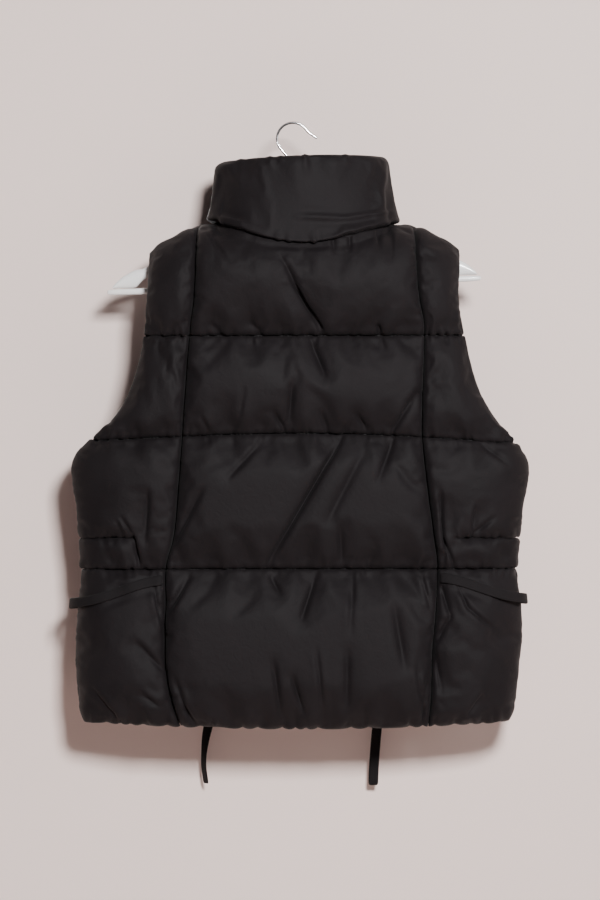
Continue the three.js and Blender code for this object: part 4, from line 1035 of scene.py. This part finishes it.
class VestHangerSettings(bpy.types.PropertyGroup):
    """Colours of the hanger"""

    plastic: bpy.props.FloatVectorProperty(
        name="Plastic colour", description="Colour of the moulded hanger", default=(0.84, 0.83, 0.82),
        subtype="COLOR", size=3, min=0, max=1)
    metal: bpy.props.FloatVectorProperty(
        name="Hook colour", description="Colour of the plated hook", default=(0.72, 0.72, 0.74),
        subtype="COLOR", size=3, min=0, max=1)


class VestStageSettings(bpy.types.PropertyGroup):
    """Light and backdrop"""

    wall: bpy.props.FloatVectorProperty(
        name="Wall colour", description="Colour of the wall and floor", default=(0.85, 0.695, 0.645),
        subtype="COLOR", size=3, min=0, max=1)
    wall_away: bpy.props.FloatProperty(
        name="Wall distance", description="How far the wall stands behind the hanger", default=0.082,
        unit="LENGTH", subtype="DISTANCE")
    key: bpy.props.FloatProperty(
        name="Key light", description="Power of the key light", default=240.0, min=0, unit="POWER")


shared = {}


def once(name, make):
    """What make gives, made at the first call and kept."""
    if name not in shared:
        shared[name] = make()
    return shared[name]


def cloth():
    return once("cloth", lambda: Cloth(bpy.context.scene.vest_shell.spacing / MM))


def shell_material():
    colour = tuple(bpy.context.scene.vest_shell.colour)
    return once("shell", lambda: cloth_material("quilted shell", colour, 0.62, 9000.0, 0.02))


def tape_material():
    colour = tuple(bpy.context.scene.vest_trim.colour)
    return once("tape", lambda: cloth_material("folded tape", colour, 0.75, 7000.0, 0.02))


def pad(piece, stations, panel, settings):
    """Pins the seams of a padded piece and fills it, ready for the frames to run."""
    columns = len(panel["outer"])
    row, column = np.divmod(stations // 2, columns)
    inside = stations % 2 == 1
    side = np.minimum(column, columns - 1 - column) == 0
    band = panel["is_band"][row] & (panel["outer"][column, row, 0] > BAND_END[0]) & (
        panel["outer"][column, row, 0] < BAND_END[1])
    sewn = inside | side | (panel["is_line"][row] & ~band)
    to_seam = np.minimum(panel["near"][column, row], panel["to_sides"][column, row])
    held = piece.vertex_groups.new(name="sewn")
    held.add(np.nonzero(sewn)[0].tolist(), 1.0, "REPLACE")
    gathered = piece.vertex_groups.new(name="gathered")
    for level in range(1, 11):
        near = np.round(10 * np.exp(-((to_seam / SEAM_GATHER) ** 2))) == level
        gathered.add(np.nonzero(near)[0].tolist(), level / 10, "REPLACE")
    modifier = piece.modifiers.new("padding", "CLOTH")
    fill = modifier.settings
    fill.quality = 5
    fill.mass = 0.2
    fill.tension_stiffness = fill.compression_stiffness = 12
    fill.shear_stiffness = 4
    fill.bending_stiffness = 0.3
    fill.air_damping = 2
    fill.vertex_group_mass = "sewn"
    fill.use_pressure = True
    fill.uniform_pressure_force = 1.6
    fill.shrink_min = -settings.ease
    fill.shrink_max = -settings.seam_ease
    fill.vertex_group_shrink = "gathered"
    fill.effector_weights.gravity = 0
    points = coordinates(piece.data)
    jitter = np.array([noise.noise(Vector(p) * 90) for p in points])
    start = points.copy()
    start[:, 1] += np.where(sewn, 0, jitter * NUDGE)
    set_coordinates(piece.data, start)
    float_attribute(piece.data, "outside", 1.0 - inside)
    float_attribute(piece.data, "seam", np.minimum(to_seam, 99))
    if panel["face"]:
        for name, values in zip(("line", "under"), beside_line(panel)):
            float_attribute(piece.data, name, values[column, row])
    most = settings.move if panel["face"] else COLLAR_MOVE * settings.move
    cap = np.minimum(most, MOVE_AT_SEAM + MOVE_PER_MM * to_seam * MM)
    return modifier, points, np.where(sewn, 0, cap)


class VEST_OT_shell(bpy.types.Operator):
    """Makes the five padded panels and the collar, and lets their cloth settle over the padding"""

    bl_idname = "vest.shell"
    bl_label = "Padded Panels"

    def execute(self, context):
        settings = context.scene.vest_shell
        jobs = []
        for name, panel in cloth().panels.items():
            piece, stations = shell(name + "_cloth", panel["outer"], panel["inner"], shell_material())
            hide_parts(name)
            jobs.append((piece, pad(piece, stations, panel, settings)))
        for moment in range(1, SETTLE_FRAMES + 1):
            context.scene.frame_set(moment)
        graph = context.evaluated_depsgraph_get()
        for piece, (modifier, start, cap) in jobs:
            moved = coordinates(piece.evaluated_get(graph).data)
            piece.modifiers.remove(modifier)
            step = moved - start
            size = np.linalg.norm(step, axis=1)
            keep = np.minimum(1, cap / np.maximum(size, 1e-9))
            set_coordinates(piece.data, start + step * keep[:, None])
            piece.vertex_groups.clear()
        context.scene.frame_set(1)
        ties = [tie_stations(cloth(), side) for side in TIES]
        for piece, _ in jobs:
            self.crease(piece, cloth().panels[piece.name[:-len("_cloth")]], ties)
        return {"FINISHED"}

    def crease(self, piece, panel, ties):
        """Lays the creases and tucks on the settled cloth, and the padding under the ties."""
        mesh = make_finer(piece)
        points, normals = coordinates(mesh) / MM, vertex_normals(mesh)
        outside, seam = float_attribute(mesh, "outside"), float_attribute(mesh, "seam")
        x, z = points[:, 0], points[:, 2]
        if panel["face"]:
            folds = BACK_FOLDS + BACK_CREASES if panel["face"] == BACK else FRONT_FOLDS + FRONT_CREASES
            deep, close_x, close_z = lay_creases(folds, x, z)
            free = smooth(seam / 4) * smooth(2 * outside - 0.5)
            deep = deep * smooth(seam / 4) + tuck_depth(tucks(panel), x, z, seam)
            line, under = float_attribute(mesh, "line"), np.sign(float_attribute(mesh, "under"))
            deep += LINE_SINK * np.exp(-((line / 2.2) ** 2))
            deep -= LINE_LIFT * (1 - 0.4 * under) * np.exp(-(((line - 8) / 5) ** 2)) * smooth(seam / 6)
            closing = LINE_CLOSE * line * np.exp(-((line / LINE_REACH) ** 2))
            points[:, 2] += under * closing * smooth(2 * outside - 0.5)
            points[:, 0] += close_x * free
            points[:, 2] += close_z * free
            hem = smooth((z - LINES[HEM_LINE, 1] - 26) / -26)
            phase = x / HEM_PITCH + 1.7 * np.sin(x / 29) + 0.9 * np.sin(x / 11 + panel["face"])
            points[:, 2] += hem * HEM_NOTCH * (1 - np.abs(np.sin(phase)) ** 0.6)
        else:
            top = z.max() - 1
            short = [(at, top, at + 3, top - long, much, TUCK_HALF) for at, long, much in COLLAR_TUCKS]
            low = [(at + 11, -141, at + 8, -127, 0.8 * much, TUCK_HALF) for at, _, much in COLLAR_TUCKS]
            deep = tuck_depth(short + low, x, z, seam + 2) + lay_creases(COLLAR_CREASES, x, z)[0] * smooth(seam / 9)
        points -= normals * (deep * smooth(outside * 1.5 - 0.25))[:, None]
        for stations in ties:
            points = press_under(points, outside, stations, TIE_THICK)
        set_coordinates(mesh, points * MM)


def tape(name, stations, thick, node):
    """A flat strip of folded cloth along stations."""
    places, normals = stations[:, :, 0], stations[:, :, 1]
    outer, inner = places + normals * thick / 2, places - normals * thick / 2
    piece, _ = shell(name, np.swapaxes(outer, 0, 1), np.swapaxes(inner, 0, 1), tape_material())
    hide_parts(*node)
    add_subdivision(piece, 1)
    return piece


class VEST_OT_ties(bpy.types.Operator):
    """Makes the two ties and the loops that carry them on the front"""

    bl_idname = "vest.ties"
    bl_label = "Ties and Loops"

    def execute(self, context):
        for side in TIES:
            tie, loop = tie_stations(cloth(), side), loop_stations(cloth(), side)
            tape(f"tie_{side}_tape", tie, TIE_THICK, [f"tie_{side}"])
            tape(f"tie_loop_{side}_tape", loop, LOOP_THICK, [f"tie_loop_{side}"])
        return {"FINISHED"}


def sew(bm, surface, places, normals, length, pitch):
    """Lays stitches along a line, on the finished cloth under it."""
    along = step_lengths(places[:, None], 0)[:, 0]
    for at in np.arange(pitch / 2, along[-1], pitch):
        ends = [at_length(along, places, at + way * length / 2) for way in (-1, 1)]
        normal = unit(at_length(along, normals, at))
        middle, forward = (ends[0] + ends[1]) / 2, unit(ends[1] - ends[0])
        if surface is not None:
            found, _, _, _ = surface.ray_cast(Vector((middle + normal * 9) * MM), Vector(-normal), 18 * MM)
            if found is None or abs(np.dot(np.array(found) / MM - middle, normal)) > 5:
                continue
            middle = np.array(found) / MM + normal * 0.08
        side = unit(np.cross(normal, forward))
        lay_block(bm, middle, (forward, side, np.cross(forward, side)), (length, THREAD_WIDE, 0.7 * THREAD_WIDE))


def sewn_lines(panel):
    """The lines of stitches of a panel: its quilting, and its edge at the zip."""
    outer, facing = panel["outer"], unit(panel["outer"] - panel["inner"])
    if panel["face"]:
        for j in np.nonzero(panel["is_line"])[0][1:-1]:
            x = outer[:, j, 0]
            sewn = ~panel["is_band"][j] | (x <= BAND_END[0]) | (x >= BAND_END[1])
            if sewn.sum() > 1:
                yield outer[sewn, j], facing[sewn, j]
    for edge, way in ((0, 1), (-1, -1)):
        at_zip = (outer[edge, -2, 1] > 0) and abs(abs(outer[edge, -2, 0] - NECK_X) - ZIP_HALF) < 6
        if at_zip:
            column = int(np.argmax(np.abs(outer[::way, -2, 0] - outer[edge, -2, 0]) > ZIP_STITCH)) * way + edge
            yield outer[column, 2:-2], facing[column, 2:-2]


class VEST_OT_stitches(bpy.types.Operator):
    """Sews the quilting lines, the edges at the zip and the loops"""

    bl_idname = "vest.stitches"
    bl_label = "Stitches"

    def execute(self, context):
        settings = context.scene.vest_trim
        length, pitch = settings.stitch / MM, 1.3 * settings.stitch / MM
        bm = bmesh.new()
        for name, panel in cloth().panels.items():
            mesh = bpy.data.objects[name + "_cloth"].data
            surface = BVHTree.FromPolygons([v.co for v in mesh.vertices], [f.vertices for f in mesh.polygons])
            for places, normals in sewn_lines(panel):
                sew(bm, surface, places, normals, length, pitch)
        for side in TIES:
            stations = loop_stations(cloth(), side)
            for row in (1, -2):
                normals = stations[row, :, 1]
                sew(bm, None, stations[row, :, 0] + normals * (LOOP_THICK / 2 + 0.1), normals, length, pitch)
        bevel_edges(bm, bm.edges[:], 0.00013)
        thread = moulded_material("sewing thread", tuple(c * 1.5 for c in settings.colour), 0.5, patch=0.004)
        new_piece("stitches", bm, thread)
        return {"FINISHED"}


class VEST_OT_zip(bpy.types.Operator):
    """Makes the zip's tape and its moulded teeth, and finishes the slider and pull"""

    bl_idname = "vest.zip"
    bl_label = "Zip"

    def execute(self, context):
        settings = context.scene.vest_trim
        places, normals = zip_line(cloth())
        bm = bmesh.new()
        for side in (-1, 1):
            edges = np.linspace(TEETH_HALF + GAP, ZIP_HALF - GAP, 4) * side
            rows = [places + normals * sign * TAPE_THICK / 2 for sign in (1, -1)]
            grid = [[row + (x, 0, 0) for x in edges] for row in rows]
            ring = np.array([*grid[0], *grid[1][::-1]])
            strip = bmesh.ops.create_grid(bm, x_segments=len(ring), y_segments=len(places) - 1, size=0.5)["verts"]
            for k, vert in enumerate(strip):
                row, column = divmod(k, len(ring) + 1)
                vert.co = Vector(ring[column % len(ring), row]) * MM
        bmesh.ops.remove_doubles(bm, verts=bm.verts[:], dist=MERGE)
        bmesh.ops.holes_fill(bm, edges=[e for e in bm.edges if e.is_boundary], sides=0)
        bmesh.ops.recalc_face_normals(bm, faces=bm.faces[:])
        zip_tape = new_piece("zip_tapes", bm, tape_material())
        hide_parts("zip_tape_left", "zip_tape_right")

        moulded = moulded_material("moulded teeth", tuple(settings.teeth), 0.38, patch=0.01)
        top = int(np.nonzero(places[:, 2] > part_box("zip_teeth")[1].z / MM)[0][0])
        line, facing = places[:top], normals[:top]
        length = step_lengths(line[:, None], 0)[:, 0]
        bm = bmesh.new()
        count = int(length[-1] / (settings.pitch / MM))
        for k in range(2 * count):
            at = (k + 1) * length[-1] / (2 * count + 1)
            place, normal = at_length(length, line, at), unit(at_length(length, facing, at))
            side, aside = 1 if k % 2 else -1, np.array([1.0, 0, 0])
            lay_block(bm, place + aside * side * TOOTH_ASIDE, (aside, normal, np.cross(aside, normal)),
                      (TOOTH_WIDE, TOOTH_DEEP, TOOTH_TALL))
        bevel_edges(bm, bm.edges[:], 0.0002)
        teeth = new_piece("zip_teeth_moulded", bm, moulded)
        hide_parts("zip_teeth")

        enamel = moulded_material("enamelled slider", tuple(settings.teeth), 0.3, patch=0.004, coat=0.4)
        for node, name, body in (("zip_slider", "slider", "garment"), ("zip_pull", "pull", "pull_tab")):
            bm = copy_node(node)
            bmesh.ops.dissolve_limit(bm, angle_limit=0.02, verts=bm.verts[:], edges=bm.edges[:])
            sharp = [e for e in bm.edges if e.calc_face_angle(0) > 0.7]
            bevel_edges(bm, sharp, 0.00025, 2)
            piece = new_piece("zip_" + name + "_cast", bm, enamel, False, body)
            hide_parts(node)
        return {"FINISHED"}


class VEST_OT_hanger(bpy.types.Operator):
    """Rounds the moulded hanger and its plated hook"""

    bl_idname = "vest.hanger"
    bl_label = "Hanger"

    def execute(self, context):
        settings = context.scene.vest_hanger
        plastic = moulded_material("moulded hanger", tuple(settings.plastic), 0.22, patch=0.05, coat=0.3)
        metal = moulded_material("plated hook", tuple(settings.metal), 0.1, patch=0.006, metallic=1.0)
        for node, material, slot in (
            ("hanger_arms", plastic, "hanger_plastic"), ("hanger_bar", plastic, "hanger_plastic"),
            ("hanger_hook", metal, "hook_steel"),
        ):
            bm = copy_node(node)
            bmesh.ops.join_triangles(bm, faces=bm.faces[:], angle_face_threshold=0.7, angle_shape_threshold=1.2,
                                     cmp_seam=False, cmp_sharp=False, cmp_uvs=False, cmp_vcols=False,
                                     cmp_materials=False)
            piece = new_piece(node + "_rounded", bm, material)
            add_subdivision(piece, 2)
            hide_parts(node)
        return {"FINISHED"}


class VEST_OT_stage(bpy.types.Operator):
    """Makes the wall, floor, lights and camera"""

    bl_idname = "vest.stage"
    bl_label = "Studio"

    def execute(self, context):
        settings = context.scene.vest_stage
        scene = context.scene
        foot = settings.wall_away - WALL_BEND
        profile = [(FLOOR_EDGE, FLOOR), (foot, FLOOR)]
        profile += [(foot + WALL_BEND * math.sin(a), FLOOR + WALL_BEND - WALL_BEND * math.cos(a))
                    for a in np.linspace(0, math.pi / 2, 9)[1:]]
        profile += [(settings.wall_away, WALL_TOP)]
        bm = bmesh.new()
        grid = bmesh.ops.create_grid(bm, x_segments=1, y_segments=len(profile) - 1, size=0.5)["verts"]
        for k, vert in enumerate(grid):
            row, column = divmod(k, 2)
            vert.co = ((2 * column - 1) * WALL_HALF, *profile[row])
        bmesh.ops.recalc_face_normals(bm, faces=bm.faces[:])
        if bm.faces[:][0].normal.z < 0:
            bmesh.ops.reverse_faces(bm, faces=bm.faces[:])
        material, tree, shader = start_material("painted wall", [("Roughness", 0.9)])
        patches = use_group(tree, mottle_group(), [("Size", 0.9)], [("Vector", placed(tree, "Object"))])
        wall = tuple(settings.wall)
        tree.links.new(blend_colours(tree, patches.outputs["Mask"], tuple(c * 0.97 for c in wall), wall),
                       shader.inputs["Base Color"])
        clear = tree.nodes.new("ShaderNodeBsdfTransparent")
        behind = tree.nodes.new("ShaderNodeNewGeometry").outputs["Backfacing"]
        to_light = tree.nodes.new("ShaderNodeLightPath").outputs["Is Shadow Ray"]
        blend_shaders(tree, maths(tree, "MAXIMUM", behind, to_light), shader, clear,
                      tree.nodes["Material Output"].inputs["Surface"])
        mesh = bpy.data.meshes.new("backdrop")
        bm.to_mesh(mesh)
        bm.free()
        mesh.shade_smooth()
        mesh.materials.append(material)
        backdrop = bpy.data.objects.new("backdrop", mesh)
        scene.collection.objects.link(backdrop)

        world = bpy.data.worlds.new("studio")
        world.use_nodes = True
        tree = world.node_tree
        soft, seen = tree.nodes["Background"], tree.nodes.new("ShaderNodeBackground")
        for light, colour, strength in ((soft, SKY, SKY_STRENGTH), (seen, (*wall, 1), SEEN_STRENGTH)):
            light.inputs["Color"].default_value, light.inputs["Strength"].default_value = colour, strength
        blend_shaders(tree, tree.nodes.new("ShaderNodeLightPath").outputs["Is Camera Ray"], soft, seen,
                      tree.nodes["World Output"].inputs["Surface"])
        scene.world = world
        for name, place, size, share in LIGHTS:
            light = bpy.data.lights.new(name, "AREA")
            light.size, light.energy = size, settings.key * share
            lamp = bpy.data.objects.new(name, light)
            lamp.location = place
            lamp.rotation_euler = (Vector(AIM) - Vector(place)).to_track_quat("-Z", "Y").to_euler()
            scene.collection.objects.link(lamp)

        camera = bpy.data.objects.new("camera", bpy.data.cameras.new("camera"))
        camera.data.sensor_width = SENSOR
        camera.data.lens = SENSOR * CAMERA_AWAY / (PHOTO_TALL * PIXEL)
        camera.data.clip_end = 50
        middle = ((PHOTO_WIDE / 2 - ORIGIN_PX[0]) * PIXEL, -(PHOTO_TALL / 2 - ORIGIN_PX[1]) * PIXEL)
        camera.location = (middle[0] * MM, -CAMERA_AWAY * MM, middle[1] * MM)
        camera.rotation_euler = (math.pi / 2, 0, 0)
        scene.collection.objects.link(camera)
        scene.camera = camera
        return {"FINISHED"}


class VEST_PT_panel(bpy.types.Panel):
    """Lists the vest's settings and the operators that make it"""

    bl_label = "Padded Vest"
    bl_idname = "VEST_PT_panel"
    bl_space_type = "VIEW_3D"
    bl_region_type = "UI"
    bl_category = "Vest"

    def draw(self, context):
        scene = context.scene
        for settings in (scene.vest_shell, scene.vest_trim, scene.vest_hanger, scene.vest_stage):
            box = self.layout.box()
            for name in settings.__annotations__:
                box.prop(settings, name)
        for step in STEPS:
            self.layout.operator(step.bl_idname)


STEPS = (VEST_OT_stage, VEST_OT_shell, VEST_OT_ties, VEST_OT_stitches, VEST_OT_zip, VEST_OT_hanger)
GROUPS = {
    "vest_shell": VestShellSettings, "vest_trim": VestTrimSettings, "vest_hanger": VestHangerSettings,
    "vest_stage": VestStageSettings,
}


def register():
    for made in (*GROUPS.values(), *STEPS, VEST_PT_panel):
        bpy.utils.register_class(made)
    for name, made in GROUPS.items():
        setattr(bpy.types.Scene, name, bpy.props.PointerProperty(type=made))


def unregister():
    for name in GROUPS:
        delattr(bpy.types.Scene, name)
    for made in reversed((*GROUPS.values(), *STEPS, VEST_PT_panel)):
        bpy.utils.unregister_class(made)


def main():
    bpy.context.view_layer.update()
    register()
    bpy.ops.vest.stage()
    bpy.ops.vest.shell()
    bpy.ops.vest.ties()
    bpy.ops.vest.stitches()
    bpy.ops.vest.zip()
    bpy.ops.vest.hanger()


if __name__ == "__main__":
    main()
